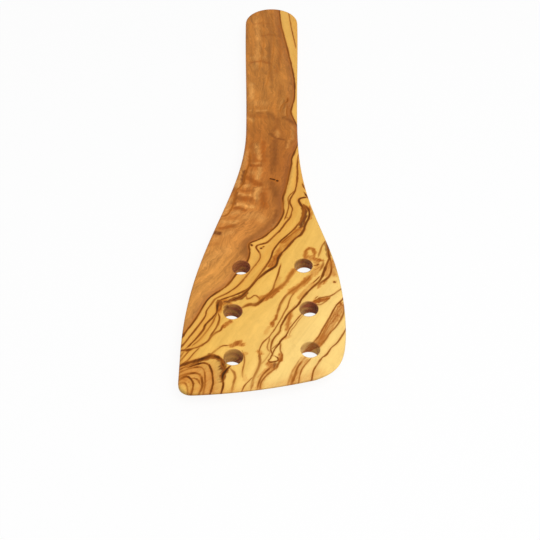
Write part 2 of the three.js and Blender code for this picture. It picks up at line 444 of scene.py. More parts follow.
    "upper_stroke": Stroke(2.2, 0.42, ((316.4, 258.4), (320.2, 260), (323.4, 260.4))),
    "upper_dash": Stroke(1.9, 0.6, ((318.6, 264.2), (316.6, 265.2), (314.6, 265.5))),
    "upper_dash_thin": Stroke(1.0, 0.4, ((320.5, 266.4), (317, 269), (314, 270.2))),
    "edge_nick": Stroke(2.2, 0.8, ((302.4, 184), (304.6, 188.4))),
    "edge_nick_low": Stroke(2.6, 0.9, ((304.4, 192.6), (307.8, 197.6))),
    "pale_strip": Stroke(2.2, 0.42, (
        (249.6, 152), (249.8, 161.5), (247, 169.6), (244.8, 176), (243.8, 182.4), (240, 187.2),
        (236.2, 190.6), (235, 197), (233.2, 204), (230.6, 210), (228, 214), (224.6, 216), (221, 216),
    )),
    "pin_bend": Stroke(2.4, 1.0, ((251.2, 244.8), (252, 245.4))),
    "pin_second": Stroke(2.0, 1.0, ((260.6, 248.5), (261.8, 248.3))),
    "pin_third": Stroke(1.5, 0.8, ((263.2, 246.9), (263.9, 246.6))),
    "pin_flare": Stroke(2.4, 1.0, ((270.4, 178.7), (274.6, 179.7))),
    "pin_flare_dot": Stroke(2.8, 1.0, ((276.9, 180.7), (277.6, 180.9))),
    "pin_right": Stroke(2.4, 0.9, ((334.2, 281.9), (335, 282.1))),
    "neck_upper": Stroke(1.9, 0.5, (
        (287.6, 98), (287.2, 101.6), (283.6, 103.6), (281.2, 107), (280, 111.6),
    )),
    "neck_right": Stroke(1.5, 0.42, ((287.4, 105.6), (286.6, 111.6), (287.6, 117))),
    "handle_right": Stroke(1.5, 0.55, ((287, 2), (291, 26), (296, 48))),
    "handle_left": Stroke(1.3, 0.26, ((262, 8), (264, 40), (259, 70))),
    "handle_middle": Stroke(1.5, 0.26, ((270, 4), (274, 34), (272, 62), (266, 86))),
}

# Washes with firm margins, most of them beside the veins of the blade
FIRM_WASHES: dict[Tone, dict[str, Stroke]] = {
    Tone.STAIN: {
        "third_fill": Stroke(9, 0.56, ((298, 231), (290, 239), (282, 248.5), (277, 256), (273, 263))),
        "third_fill_middle": Stroke(5, 0.62, ((287, 237.6), (281.5, 243))),
        "third_fill_low": Stroke(6, 0.7, ((276, 256), (274, 262), (270, 266))),
        "third_fill_top": Stroke(5, 0.62, ((302.4, 227.4), (297.4, 229.6), (293, 232.6))),
        "third_edge": Stroke(3.5, 0.55, ((309.8, 206.5), (311.3, 213), (310, 219))),
        "knot_side": Stroke(8.5, 0.62, ((223.5, 302), (228.4, 302.6))),
        "rim_wedge": Stroke(5.4, 0.64, ((231, 345.4), (237.6, 344), (242.4, 344.4))),
        "rim_wedge_top": Stroke(5.6, 0.64, ((236.4, 342.8), (240, 341.8))),
        "rim_spot": Stroke(4, 0.55, ((245.3, 352.6), (245.6, 354))),
        "left_blob": Stroke(5, 0.7, ((230.6, 320.8), (226, 324), (223.2, 326.8))),
        "centre_top": Stroke(8, 0.55, ((309, 277.5), (302, 284.5), (296, 288.5), (290.5, 292))),
        "centre_olive": Stroke(8, 0.45, ((319, 267), (313, 274))),
        "centre_right": Stroke(5, 0.42, ((313, 284), (306, 290), (299, 298))),
        "centre_spot": Stroke(3.5, 0.7, ((276.2, 315.6), (275.8, 318.6))),
        "centre_blob": Stroke(4.5, 0.75, ((272.4, 322.6), (272.6, 326))),
        "centre_smudge": Stroke(5, 0.35, ((268.5, 328), (265.5, 333.4))),
        "centre_fill": Stroke(5.5, 0.58, ((291, 311.5), (289, 319), (287, 329))),
        "centre_low": Stroke(4, 0.42, ((284.5, 338), (289.5, 337))),
        "middle_broad": Stroke(6, 0.5, ((294, 270), (290, 275.2), (286, 281.8), (281, 286.5), (275, 291))),
        "middle_merge": Stroke(8, 0.78, ((275.4, 291), (269, 296), (261.6, 299))),
        "middle_olive": Stroke(5, 0.3, ((279.4, 278), (276.4, 288))),
        "second_spot": Stroke(4.5, 0.6, ((258.6, 352), (261.5, 354))),
        "eye_right": Stroke(4.5, 0.7, ((280.5, 355), (280.3, 360.5))),
        "eye_body": Stroke(8, 0.65, ((270, 364.6), (274.5, 366.4))),
        "eye_tail": Stroke(8, 0.45, ((270, 369), (264.5, 374.4), (260, 381), (258, 389))),
        "swirl": Stroke(26, 0.34, ((184, 374), (198, 373), (206, 382), (204, 393))),
        "swirl_right": Stroke(11, 0.22, ((216, 362), (217.5, 378), (216, 393))),
        "right_pair": Stroke(9, 0.64, ((341, 305.5), (336.8, 315), (329, 328), (320.5, 340), (317, 345))),
        "front_band": Stroke(9, 0.5, ((304.5, 360), (298.5, 368.5), (295, 376), (292.5, 385))),
        "front_smudge": Stroke(6, 0.3, ((244.6, 377), (245.4, 379))),
        "upper_ring": Stroke(4.6, 0.62, (
            (304.6, 258), (305.4, 252.6), (307.2, 249.6), (310.2, 248.4), (313.2, 249.4), (314.6, 252.2),
            (313.8, 256.4),
        )),
        "upper_ring_foot": Stroke(6.4, 0.6, ((305.4, 257.4), (310.4, 257.4), (315, 259.8))),
        "upper_ring_rim": Stroke(5, 0.5, ((310, 258.8), (314.4, 260.6), (317, 262.6))),
        "upper_stroke": Stroke(4.6, 0.7, ((314, 258.6), (318.4, 260), (322.4, 260.6))),
        "right_curl_low": Stroke(4, 0.6, ((326, 281.4), (320, 285.4), (318.4, 287.6))),
        "right_eye": Stroke(5, 0.8, ((315.5, 301.6), (321.5, 300.6), (327, 298.4))),
        "knot_body": Stroke(6, 0.66, ((219.6, 303.6), (218.8, 311))),
    },
    Tone.SHADE: {
        "upper_lens": Stroke(5, 0.62, ((326, 242.6), (327, 247.4), (328, 252), (328.8, 256.4))),
        "third_core": Stroke(6, 0.92, ((304.2, 207), (304.6, 214), (303, 220.6), (301.6, 225))),
        "third_core_end": Stroke(3.6, 0.85, ((302.8, 221), (300.4, 227.4))),
        "third_tail": Stroke(5.5, 0.85, ((245.6, 293), (240.5, 297.4), (232, 300))),
        "hood_core": Stroke(4.6, 0.75, ((221, 360), (215, 357.2), (209, 357.4), (202, 359.4))),
        "knot_speck": Stroke(2.8, 0.8, ((225.6, 302.4), (228.6, 301.6))),
        "knot_speck_low": Stroke(3.0, 0.75, ((224.6, 307), (227.6, 306))),
        "knot_core": Stroke(5.6, 0.85, ((219.4, 301.4), (219.4, 304.4))),
        "feather": Stroke(5, 0.9, ((226.2, 370.4), (223.2, 374.4), (222.8, 379))),
        "feather_top": Stroke(6, 0.95, ((222.6, 362.4), (224, 367))),
        "feather_arch": Stroke(4.4, 0.62, ((209, 355.2), (215.6, 356.4), (220.4, 359.4), (223, 364))),
        "feather_spike": Stroke(2.4, 0.7, ((222, 375.4), (219.4, 376.6))),
        "feather_spike_top": Stroke(2.4, 0.7, ((223, 364.6), (219.4, 366.2))),
        "feather_spike_second": Stroke(2.4, 0.7, ((223.6, 367.4), (219.8, 369))),
        "feather_spike_third": Stroke(2.4, 0.7, ((223.2, 371), (220, 372.6))),
        "feather_spike_fourth": Stroke(2.4, 0.65, ((222.8, 378), (219.8, 379))),
        "feather_spike_low": Stroke(2.4, 0.7, ((223, 381.6), (221, 382.2))),
        "eye_core": Stroke(4, 0.55, ((275.4, 362.8), (274.8, 367))),
        "right_eye_core": Stroke(2.6, 0.85, ((317.6, 299.2), (319.5, 298.7))),
    },
}

# Washes with soft margins, most of them in the heartwood
SOFT_WASHES: dict[Tone, dict[str, Stroke]] = {
    Tone.STAIN: {
        "right_curl": Stroke(9, 0.62, ((333, 261.6), (333.8, 268), (333.2, 274))),
        "right_curl_inside": Stroke(6, 0.5, ((329.8, 263), (329, 269), (326.6, 275))),
        # A darker, more orange band along the front edge
        "front_tint": Stroke(16, 0.36, (
            (200, 396), (228, 395), (250, 392.5), (270, 389), (290, 384), (306, 379), (318, 374),
        )),
        "swirl_strip": Stroke(5, 0.5, ((184, 379.4), (188.6, 381), (191, 386), (190.4, 393))),
        "neck_zone": Stroke(8, 0.42, ((251, 116), (260, 116), (268, 117.5))),
        "neck_orange": Stroke(6, 0.68, ((263.5, 142), (263.5, 152), (264, 161))),
        "neck_orange_left": Stroke(6, 0.45, ((252, 143), (252.5, 148))),
        "neck_orange_low": Stroke(8, 0.45, ((254.5, 155.5), (255, 161))),
        "neck_middle": Stroke(14, 0.22, ((257, 127), (257, 139))),
        "neck_right": Stroke(7, 0.3, ((281, 86), (279, 96))),
        "smoke_left": Stroke(4, 0.5, ((262, 189), (266, 189.3), (271, 188))),
        "smoke_low": Stroke(10, 0.7, ((262.8, 194), (264.6, 206))),
        "ripple_first": Stroke(4, 0.75, ((252, 165.5), (258, 166))),
        "ripple_second": Stroke(7, 0.85, ((247, 177), (251, 179.5), (255, 183), (260, 184.5))),
        "ripple_third": Stroke(4.5, 0.6, ((241, 190.5), (247, 191), (252.5, 190.5))),
        "ripple_fourth": Stroke(8, 0.72, ((239, 198), (244, 198.6), (251.5, 199.6))),
        "ripple_fifth": Stroke(4.5, 0.72, ((234.5, 208), (240, 208.2), (245, 210.2))),
        "ripple_sixth": Stroke(4, 0.36, ((226, 218.5), (236, 218))),
        "ripple_seventh": Stroke(5, 0.72, ((219.5, 228.5), (226, 227.5), (235, 225.5))),
        "ripple_eighth": Stroke(6, 0.34, ((209, 245), (217, 243.6))),
        "handle_orange": Stroke(8, 0.4, ((279, 26), (280, 50), (277, 72))),
        "handle_ripple": Stroke(5, 0.55, ((251, 63), (260, 61), (269, 63))),
        "handle_ripple_far": Stroke(4, 0.5, ((262, 36), (270, 34.6), (278, 36))),
        "handle_ripple_end": Stroke(4, 0.4, ((254, 24), (262, 23), (268, 24))),
    },
    Tone.SHADE: {
        "swirl_shadow": Stroke(15, 0.2, ((200, 366), (212, 368), (216, 380), (214, 393))),
        "feather_shadow": Stroke(8, 0.3, ((218, 361), (219, 368), (219.4, 378))),
        "heart_band": Stroke(9, 0.36, (
            (289, 168), (285.5, 185), (279, 200), (278, 212), (271, 223), (258, 234), (246, 242),
            (244.5, 254),
        )),
        "heart_band_deep": Stroke(6, 0.5, ((276.6, 210), (275.4, 216), (273, 222.4))),
        "heart_band_low": Stroke(7, 0.42, ((270, 222), (264.5, 228.4), (258, 233))),
        "heart_bend": Stroke(6, 0.4, ((246.6, 247), (247, 257))),
        "neck_spot": Stroke(4, 0.42, ((257.5, 113), (263, 113.5))),
        "neck_diagonal": Stroke(7, 0.42, ((268, 113), (272, 115.5), (275, 118.6), (278, 121))),
        "neck_column": Stroke(9, 0.4, ((277.6, 119), (277, 125), (274.5, 130))),
        "neck_curl": Stroke(5.5, 0.52, ((270.5, 133.8), (274, 136.8), (277, 138.6), (283.5, 139.4))),
        "neck_dark": Stroke(11, 0.48, ((275, 141), (275, 149), (275, 158), (274.6, 164))),
        "neck_dark_wide": Stroke(20, 0.26, ((275, 126), (278, 140), (277, 157), (275.5, 172))),
        "neck_dark_side": Stroke(3.5, 0.42, ((270.6, 145), (271, 160), (271.4, 173))),
        "neck_curve": Stroke(5, 0.34, ((286, 141), (285, 146), (281, 150))),
        "neck_notch": Stroke(5.5, 0.5, ((283.5, 117.6), (288, 119.6), (294, 122.6))),
        "neck_smudge": Stroke(4.5, 0.32, ((288, 98.5), (286, 104), (283.5, 107.5))),
        "smoke": Stroke(11, 0.5, ((271.6, 182.6), (273, 188), (276, 195))),
        "smoke_wide": Stroke(17, 0.36, ((272, 181), (275, 190), (279, 203))),
        "strip_dark": Stroke(3, 0.55, ((249.8, 157), (250, 166))),
        "strip_dark_middle": Stroke(5.5, 0.72, ((245, 171), (243.4, 177.6), (242.6, 183))),
        "strip_dark_low": Stroke(4.2, 0.62, ((236.4, 193), (235.2, 199), (233.8, 204))),
        "ripple_edge": Stroke(6, 0.75, ((215, 232.6), (219.5, 233.6))),
        "handle_streak": Stroke(7, 0.34, ((268, 18), (271, 40), (269, 60), (272, 80))),
    },
    Tone.PALE: {
        "swirl_pale": Stroke(24, 0.6, ((186, 374), (199, 372), (209, 380), (207, 393))),
        "light_handle": Stroke(6, 0.55, ((251.6, 84), (251.6, 98))),
        "light_handle_low": Stroke(10, 0.28, ((253, 103), (265, 103))),
        "light_neck_line": Stroke(2, 0.5, ((248.5, 110.8), (258, 110.6), (267.5, 110.2))),
        "light_neck_edge": Stroke(4.5, 0.55, ((248.5, 118), (252.5, 120.5))),
        "light_neck_curve": Stroke(2.6, 0.36, ((283.3, 99), (281, 104), (279.3, 109))),
        "light_neck_fleck": Stroke(2.6, 0.36, ((285.6, 108), (285.4, 115))),
        "light_neck_patch": Stroke(4.5, 0.55, ((277, 131.5), (277.8, 136))),
        "light_neck_right": Stroke(3.5, 0.32, ((292, 127), (292.6, 138), (289.5, 141), (287, 147.5))),
        "light_neck_low": Stroke(6, 0.5, ((256, 145), (258, 152), (259.4, 158))),
        "light_first": Stroke(2.2, 0.6, ((254, 163), (260, 163.2))),
        "light_second": Stroke(5, 0.75, ((259.8, 168.5), (259.2, 173), (257.6, 177.6))),
        "light_second_side": Stroke(7, 0.36, ((253, 172.4), (257, 173))),
        "light_third": Stroke(4, 0.6, ((243.5, 186), (249, 185.6))),
        "light_fourth": Stroke(7.5, 0.75, ((258, 189), (257, 194), (256, 198))),
        "light_fifth": Stroke(2.6, 0.55, ((238, 193.4), (244, 194.8), (250.5, 195.2))),
        "light_sixth": Stroke(4.4, 0.68, ((238, 204.6), (242, 204.4), (248, 206.5), (253, 207))),
        "light_seventh": Stroke(5, 0.5, ((231, 213), (238, 212.6))),
        "light_eighth": Stroke(10, 0.42, ((246, 217), (254, 214.5), (262, 219))),
        "light_ninth": Stroke(3.6, 0.7, ((222.5, 221.5), (228, 222), (233, 222.8), (237, 221))),
        "light_tenth": Stroke(5, 0.4, ((223.5, 234.6), (232, 232))),
        "light_edge": Stroke(3, 0.4, ((213, 239), (216.5, 238.6))),
        "light_rim": Stroke(2.5, 0.45, ((276, 222), (272.5, 227))),
        "light_low": Stroke(11, 0.32, ((204, 264), (214, 257), (226, 250))),
        "left_strip": Stroke(6, 0.55, ((246, 152), (243, 166), (239, 179))),
        "left_strip_middle": Stroke(6, 0.95, ((238.6, 180.6), (236.4, 186.4))),
        "handle_light": Stroke(6, 0.4, ((256, 18), (258, 45), (255, 68))),
        "handle_ripple_light": Stroke(3, 0.45, ((251, 58), (259, 56.6), (265, 57.4))),
        "left_strip_low": Stroke(5, 0.6, ((231, 199), (227, 208), (223, 214))),
    },
}


@dataclass(frozen=True)
class Figure:
    """The figure of the wood, as values at points of the board.

    Attributes:
        view: View that the routes are traced in.
        face_height: Height of the top face, where the figure is as traced.
        line_width: Real width that one pixel of a stroke's width stands for.
        dip: How far the figure moves sideways for each metre below the top face, as (x, y).
        sway: How far it wanders besides, for each metre of depth.
        sway_length: Length over which that wandering turns.
        firm: Shares of half its width where a firm wash starts to fade and is gone.
        soft: The same for a soft wash.
        ragged: How far the washes' margins are shaken.
        ragged_lengths: Lengths over which the shaking turns, in each of two directions.
        ragged_bend: Strength and pace of the second sine inside that shaking.
        blot: Length under which a vein is a blot.
        blunt: Share of its width that a vein keeps at its ends.
        taper: How many widths of a vein it would take to narrow by the whole width.
        clearance: Least gap between two veins that share a layer.
        smoothing: Places on each span of a route.
        reach: How far from a vein its values are worked out.
        nowhere: Distance stored where no vein is within reach, in millimetres.
    """

    view: PhotoView
    face_height: float
    line_width: float = 0.00053
    dip: tuple[float, float] = (0.35, -0.5)
    sway: float = 0.3
    sway_length: float = 0.007
    firm: tuple[float, float] = (0.55, 1.3)
    soft: tuple[float, float] = (0.0, 1.75)
    ragged: float = 0.0003
    ragged_lengths: tuple[float, float] = (0.0037, 0.0053)
    ragged_bend: tuple[float, float] = (1.8, 1.3)
    blot: float = 0.003
    blunt: float = 0.5
    taper: float = 3.0
    clearance: float = 0.0042
    smoothing: int = 5
    reach: float = 0.004
    nowhere: float = 9.0

    def sunk(self, points: np.ndarray) -> np.ndarray:
        """Places on the traced face whose figure comes to points anywhere in the board.

        Each point slides along the dip in proportion to its depth under the face, and wanders by a sine
        of its place, so the figure runs on down the edges and returns changed on the underside.

        Args:
            points: Points of shape (n, 3).

        Returns:
            Places of shape (n, 2).
        """
        depth = self.face_height - points[:, 2:]
        wave = np.sin(points[:, 1::-1] / self.sway_length)
        return points[:, :2] + depth * (np.asarray(self.dip) + self.sway * wave)

    def path(self, route: Sequence[Pixel]) -> np.ndarray:
        """A traced route as a smooth path on the top face."""
        return flowing(self.view.on_face(route), self.smoothing)

    def grain(self, points: np.ndarray) -> np.ndarray:
        """How the fibres run: millimetres across the grain, along it and under the top face.

        Across is the distance from the grain's run, positive in the heartwood.

        Args:
            points: Points of shape (n, 3).

        Returns:
            Values of shape (n, 3).
        """
        run = nearest(self.sunk(points), self.path(GRAIN_RUN))
        depth = self.face_height - points[:, 2]
        return np.stack([run.distance * run.side, run.along, depth], axis=1) / MILLIMETRE

    def heading(self, points: np.ndarray) -> np.ndarray:
        """Direction of the fibres at each point, that of the grain's run at its nearest place.

        Args:
            points: Points of shape (n, 3).

        Returns:
            Directions of shape (n, 2).
        """
        path = self.path(GRAIN_RUN)
        span = np.diff(path, axis=0)
        length = np.hypot(*span.T)
        middle = np.cumsum(length) - length / 2
        along = nearest(points[:, :2], path).along
        return np.stack([np.interp(along, middle, part / length) for part in span.T], axis=1)

    def tones(self, points: np.ndarray) -> np.ndarray:
        """Depth inside the heartwood in millimetres, and the strengths of the three washes.

        A wash is full near its middle and gone somewhat beyond its width, measured at places shaken by a
        sine of a sine. Where washes of one tone overlap, the stronger shows.

        Args:
            points: Points of shape (n, 3).

        Returns:
            Values of shape (n, 4): the heartwood, then the tones in their own order.
        """
        places = self.sunk(points)
        edge = nearest(places, self.path(HEART_EDGE.route))
        values = np.zeros((len(points), 1 + len(Tone)))
        values[:, 0] = edge.distance * edge.side / MILLIMETRE
        turn = 2 * math.pi * places[:, ::-1] / self.ragged_lengths
        bend, pace = self.ragged_bend
        places = places + self.ragged * np.sin(turn + bend * np.sin(pace * turn[:, ::-1]))
        for margins, washes in ((self.firm, FIRM_WASHES), (self.soft, SOFT_WASHES)):
            for tone, strokes in washes.items():
                column = values[:, tone.value]
                for stroke in strokes.values():
                    path = self.path(stroke.route)
                    full, gone = np.multiply(margins, stroke.width * self.line_width / 2)
                    near = self.close_to(places, path, gone)
                    drop = nearest(places[near], path).distance
                    column[near] = np.maximum(column[near], stroke.strength * fade(drop, full, gone))
        return values

    def vein_layers(self, points: np.ndarray) -> list[np.ndarray]:
        """The veins in layers, so that no two veins of one layer come close.

        At each point a layer holds the nearest vein's distance, negative on one side so that the line
        stays sharp between points, that distance without its sign, half the vein's width there, all in
        millimetres, and its darkness. A vein narrows and pales towards both its ends, but a very short
        one is a round blot, whose distance has no sign.

        Args:
            points: Points of shape (n, 3).

        Returns:
            One array of shape (n, 4) for each layer.
        """
        places = self.sunk(points)
        layers: list[np.ndarray] = []
        for veins in self.sorted_veins():
            values = np.tile([self.nowhere, self.nowhere, 0.0, 0.0], (len(points), 1))
            for vein in veins:
                path = self.path(vein.route)
                near = np.flatnonzero(self.close_to(places, path, self.reach))
                drop = nearest(places[near], path)
                length = np.hypot(*np.diff(path, axis=0).T).sum()
                to_end = np.minimum(drop.along, length - drop.along)
                width = vein.width * self.line_width
                blot = length < self.blot
                side = np.where(blot, 1, drop.side)
                kept = np.maximum(np.clip(self.blunt + to_end / (self.taper * width), 0, 1), blot)
                distance = drop.distance / MILLIMETRE
                half = width / 2 * kept / MILLIMETRE
                closer = distance < values[near, 1]
                found = np.stack([distance * side, distance, half, vein.strength * np.sqrt(kept)], axis=1)
                values[near[closer]] = found[closer]
            layers.append(values)
        return layers

    def sorted_veins(self) -> list[list[Stroke]]:
        """Sorts the veins into layers: each goes to the first layer where it stays clear of the others.

        Returns:
            The veins of each layer.
        """
        layers: list[list[Stroke]] = []
        paths: list[list[np.ndarray]] = []
        for vein in VEINS.values():
            path = self.path(vein.route)
            for layer, others in zip(layers, paths):
                if all(nearest(path, other).distance.min() > self.clearance for other in others):
                    break
            else:
                layer, others = [], []
                layers.append(layer)
                paths.append(others)
            layer.append(vein)
            others.append(path)
        return layers

    @staticmethod
    def close_to(places: np.ndarray, path: np.ndarray, margin: float) -> np.ndarray:
        """Tells which places lie in the box round a path, widened by a margin."""
        low, high = path.min(0) - margin, path.max(0) + margin
        return ((places > low) & (places < high)).all(1)


@dataclass(frozen=True)
class Loop:
    """A closed outline, counter-clockwise seen from above.

    Attributes:
        points: Dense points round the loop, of shape (n, 2), with the first not repeated.
    """

    points: np.ndarray

    def lengths(self) -> np.ndarray:
        """Distance round the loop to each point, and to the first one again at the end."""
        closed = np.concatenate([self.points, self.points[:1]])
        return np.concatenate([[0], np.cumsum(np.hypot(*np.diff(closed, axis=0).T))])

    def read(self, values: np.ndarray, reach: np.ndarray) -> np.ndarray:
        """Values at distances round the loop, on the straight between those given at its points.

        Args:
            values: Values at the loop's points, of shape (n, 2).
            reach: Distances round the loop, of shape (m,).

        Returns:
            Values of shape (m, 2).
        """
        lengths = self.lengths()
        columns = [np.interp(reach, lengths[:-1], column, period=lengths[-1]) for column in values.T]
        return np.stack(columns, axis=1)

    def at(self, reach: np.ndarray) -> tuple[np.ndarray, np.ndarray]:
        """Places on the loop, and the unit normals that point out of it there.

        The normal is the tangent, the chord between a point's two neighbours, turned a quarter clockwise.

        Args:
            reach: Distances round the loop, of shape (n,).

        Returns:
            Places and normals, each of shape (n, 2).
        """
        tangent = np.roll(self.points, -1, axis=0) - np.roll(self.points, 1, axis=0)
        normal = np.stack([tangent[:, 1], -tangent[:, 0]], axis=1)
        out = self.read(normal / np.hypot(*normal.T)[:, None], reach)
        return self.read(self.points, reach), out / np.hypot(*out.T)[:, None]


@dataclass(frozen=True)
class DrainHole:
    """A round hole through the blade, drilled by hand.

    Attributes:
        x: Place of its centre on the top face, across the blade.
        height: Place of its centre on the top face, from the blade's lowest point.
        drift: How much further to the right it comes out of the underside.
        lean: How much further towards the handle it comes out of the underside.
        scorch: Brown of its wall, the drill's burn with painted shade. At 1 the wall's middle is wholly so.
    """

    x: float
    height: float
    drift: float
    lean: float
    scorch: float

    def axis(self, drop: np.ndarray) -> np.ndarray:
        """Places of the axis at shares of the way down, from 0 on the top face to 1 on the underside."""
        return np.stack([self.x + self.drift * drop, self.height + self.lean * drop], axis=-1)


class MeshParts:
    """Vertices and faces of a surface that is put together from patches."""

    def __init__(self) -> None:
        """Starts with nothing."""
        self.blocks: list[np.ndarray] = []
        self.faces: list[np.ndarray] = []
        self.count = 0

    def add_points(self, points: np.ndarray) -> np.ndarray:
        """Adds a grid of points and gives their numbers.

        Args:
            points: Points of shape (..., 3).

        Returns:
            Numbers of the same grid shape.
        """
        shape = points.shape[:-1]
        numbers = self.count + np.arange(math.prod(shape)).reshape(shape)
        self.blocks.append(points.reshape(-1, 3))
        self.count += numbers.size
        return numbers

    def add_quads(self, numbers: np.ndarray, closed: bool = False, keep: np.ndarray | None = None) -> None:
        """Adds the quads of a grid, which face up where rows run to the left of columns.

        Args:
            numbers: Grid of point numbers, of shape (rows, columns).
            closed: Whether the last column joins the first.
            keep: Which quads to add, all of them if not given.
        """
        if closed:
            numbers = np.concatenate([numbers, numbers[:, :1]], axis=1)
        corners = numbers[:-1, :-1], numbers[:-1, 1:], numbers[1:, 1:], numbers[1:, :-1]
        quads = np.stack(corners, axis=-1)
        self.faces.append(quads[keep] if keep is not None else quads.reshape(-1, 4))

    def build(self, name: str) -> bpy.types.Object:
        """Makes the object, without the points that no face uses.

        Args:
            name: Name of the object and its mesh.

        Returns:
            The new object, at the origin.
        """
        faces = np.concatenate(self.faces)
        used, faces = np.unique(faces, return_inverse=True)
        points = np.concatenate(self.blocks)[used]
        mesh = bpy.data.meshes.new(name)
        mesh.from_pydata(points.tolist(), [], faces.reshape(-1, 4).tolist())
        mesh.polygons.foreach_set("use_smooth", np.ones(len(mesh.polygons), bool))
        mesh.update()
        piece = bpy.data.objects.new(name, mesh)
        bpy.context.scene.collection.objects.link(piece)
        return piece


class Stored(Enum):
    """Kinds of values on a mesh's points, each with the name that Blender gives its contents."""

    FLOAT = "value"
    FLOAT_VECTOR = "vector"
    FLOAT_COLOR = "color"

    def store(self, mesh: bpy.types.Mesh, name: str, values: np.ndarray) -> None:
        """Stores values of this kind on a mesh's points, under a name."""
        mesh.attributes.new(name, self.name, "POINT").data.foreach_set(self.value, values.ravel())


@dataclass(frozen=True)
class Spatula:
    """The board, carved in one piece: a flared, bevelled and drilled blade and a straight handle.

    Heights run from the blade's lowest point towards the handle's end, and reaches from the handle's
    centre line. A pull is how far a curve holds its direction at one end.

    Attributes:
        low: Lowest corner of the board's box.
        high: Highest corner of the board's box.
        blade_length: Height of the neck, where the board is narrowest.
        neck_width: Width of the neck.
        end_width: Width of the handle near its end.
        crown_length: Length of the handle's rounded end.
        left_widest: Height where the left flank ends and the straight left side begins.
        right_widest: Height where the right flank ends and the right corner begins.
        left_neck_pull: Pull of the left flank at the neck.
        left_blade_pull: Pull of the left flank at the blade.
        right_neck_pull: Pull of the right flank at the neck.
        right_blade_pull: Pull of the right flank at the blade.
        corner_radius: Radius of the left front corner.
        front_end_reach: Reach of the point where the front edge meets the right corner.
        front_rise: Height of that point.
        corner_front_pull: Pull of the right corner at the front edge.
        corner_side_pull: Pull of the right corner at the right flank.
        edge_round: Radius of the rounded edges.
        edge_thickness: Thickness that the bevel leaves at the front edge.
        bevel_length: How far the bevel reaches in from the edge.
        bevel_ease: How much of that length bends out of the flat underside.
        front_facet_place: Where the front facet touches the front edge, from 0 to 1.
        corner_facet_place: Where the corner facet touches the right corner, from 0 to 1.
        hole_radius: Radius of the drain holes.
        hole_round: Radius of their rounded rims.
        holes: The drain holes, from the front left one to the back right one.
        quarter_arc: Pull of a quarter circle of radius 1.
        curve_steps: Spans of each curve of the outline, an even number.
        columns: Quads across the board.
        blade_rows: Quads along the blade.
        handle_rows: Quads along the handle.
        round_steps: Quads over each rounding.
        wall_steps: Quads down the edge between its roundings.
        hole_block: Rows and columns of quads on each side of a hole's centre that the hole takes out.
        collar_steps: Quads between a hole's rim and the border of its block.
        hole_wall_steps: Quads down a hole's wall.
        drill_turns: Turns of the screw thread down a hole's wall.
        thread_depth: How strongly the thread shows in the scorch and painted shade.
        painted_shade_lean: Painted shade on a hole's right side and painted light on its left, against its
            middle.
        rim_fade: Share of a rim's rounding over which the drill's traces fade.
        wall_end_grain: Share of the end grain's darkness that shows on a hole's wall.
    """

    low: Place
    high: Place
    blade_length: float = 0.1812
    neck_width: float = 0.0295
    end_width: float = 0.033
    crown_length: float = 0.015
    left_widest: float = 0.0232
    right_widest: float = 0.0432
    left_neck_pull: float = 0.055
    left_blade_pull: float = 0.068
    right_neck_pull: float = 0.074
    right_blade_pull: float = 0.0575
    corner_radius: float = 0.0068
    front_end_reach: float = 0.0203
    front_rise: float = 0.0086
    corner_front_pull: float = 0.011
    corner_side_pull: float = 0.0255
    edge_round: float = 0.0015
    edge_thickness: float = 0.001
    bevel_length: float = 0.024
    bevel_ease: float = 0.009
    front_facet_place: float = 0.5
    corner_facet_place: float = 0.3
    hole_radius: float = 0.0045
    hole_round: float = 0.0005
    # Each hole's wall brown mixes the drill's burn with painted shade inside the hole
    holes: tuple[DrainHole, ...] = (
        DrainHole(x=-0.0183, height=0.0207, drift=-0.0010, lean=-0.0015, scorch=0.7),
        DrainHole(x=0.0181, height=0.0251, drift=-0.0009, lean=-0.0003, scorch=0.3),
        DrainHole(x=-0.0192, height=0.0481, drift=-0.0012, lean=-0.0008, scorch=0.9),
        DrainHole(x=0.0179, height=0.0498, drift=0.0012, lean=-0.0005, scorch=1.2),
        DrainHole(x=-0.0157, height=0.0768, drift=0.0000, lean=-0.0007, scorch=0.9),
        DrainHole(x=0.0159, height=0.0780, drift=0.0008, lean=0.0012, scorch=0.85),
    )
    quarter_arc: float = 0.5523
    curve_steps: int = 240
    columns: int = 104
    blade_rows: int = 262
    handle_rows: int = 96
    round_steps: int = 4
    wall_steps: int = 4
    hole_block: tuple[int, int] = (12, 11)
    collar_steps: int = 4
    hole_wall_steps: int = 12
    drill_turns: float = 2.2
    thread_depth: float = 0.2
    painted_shade_lean: float = 0.45
    rim_fade: float = 0.8
    wall_end_grain: float = 0.4

    @property
    def thickness(self) -> float:
        """Thickness of the board."""
        return self.high[2]

    def front_edge(self) -> list[Sequence[float]]:
        """Control points of the shallow bow along the front, from left to right."""
        start, end = self.low[0] + self.corner_radius, self.front_end_reach
        return [(start, 0), ((start + end) / 2, 0), (end, self.front_rise)]

    def right_corner(self) -> list[Sequence[float]]:
        """The wide right corner, which leaves the front edge along its tangent.

        Returns:
            Its control points, from the front edge to the right flank.
        """
        _, bend, end = np.array(self.front_edge())
        tangent = (end - bend) / np.hypot(*(end - bend))
        side, top = self.high[0], self.right_widest
        return [end, end + tangent * self.corner_front_pull, (side, top - self.corner_side_pull), (side, top)]

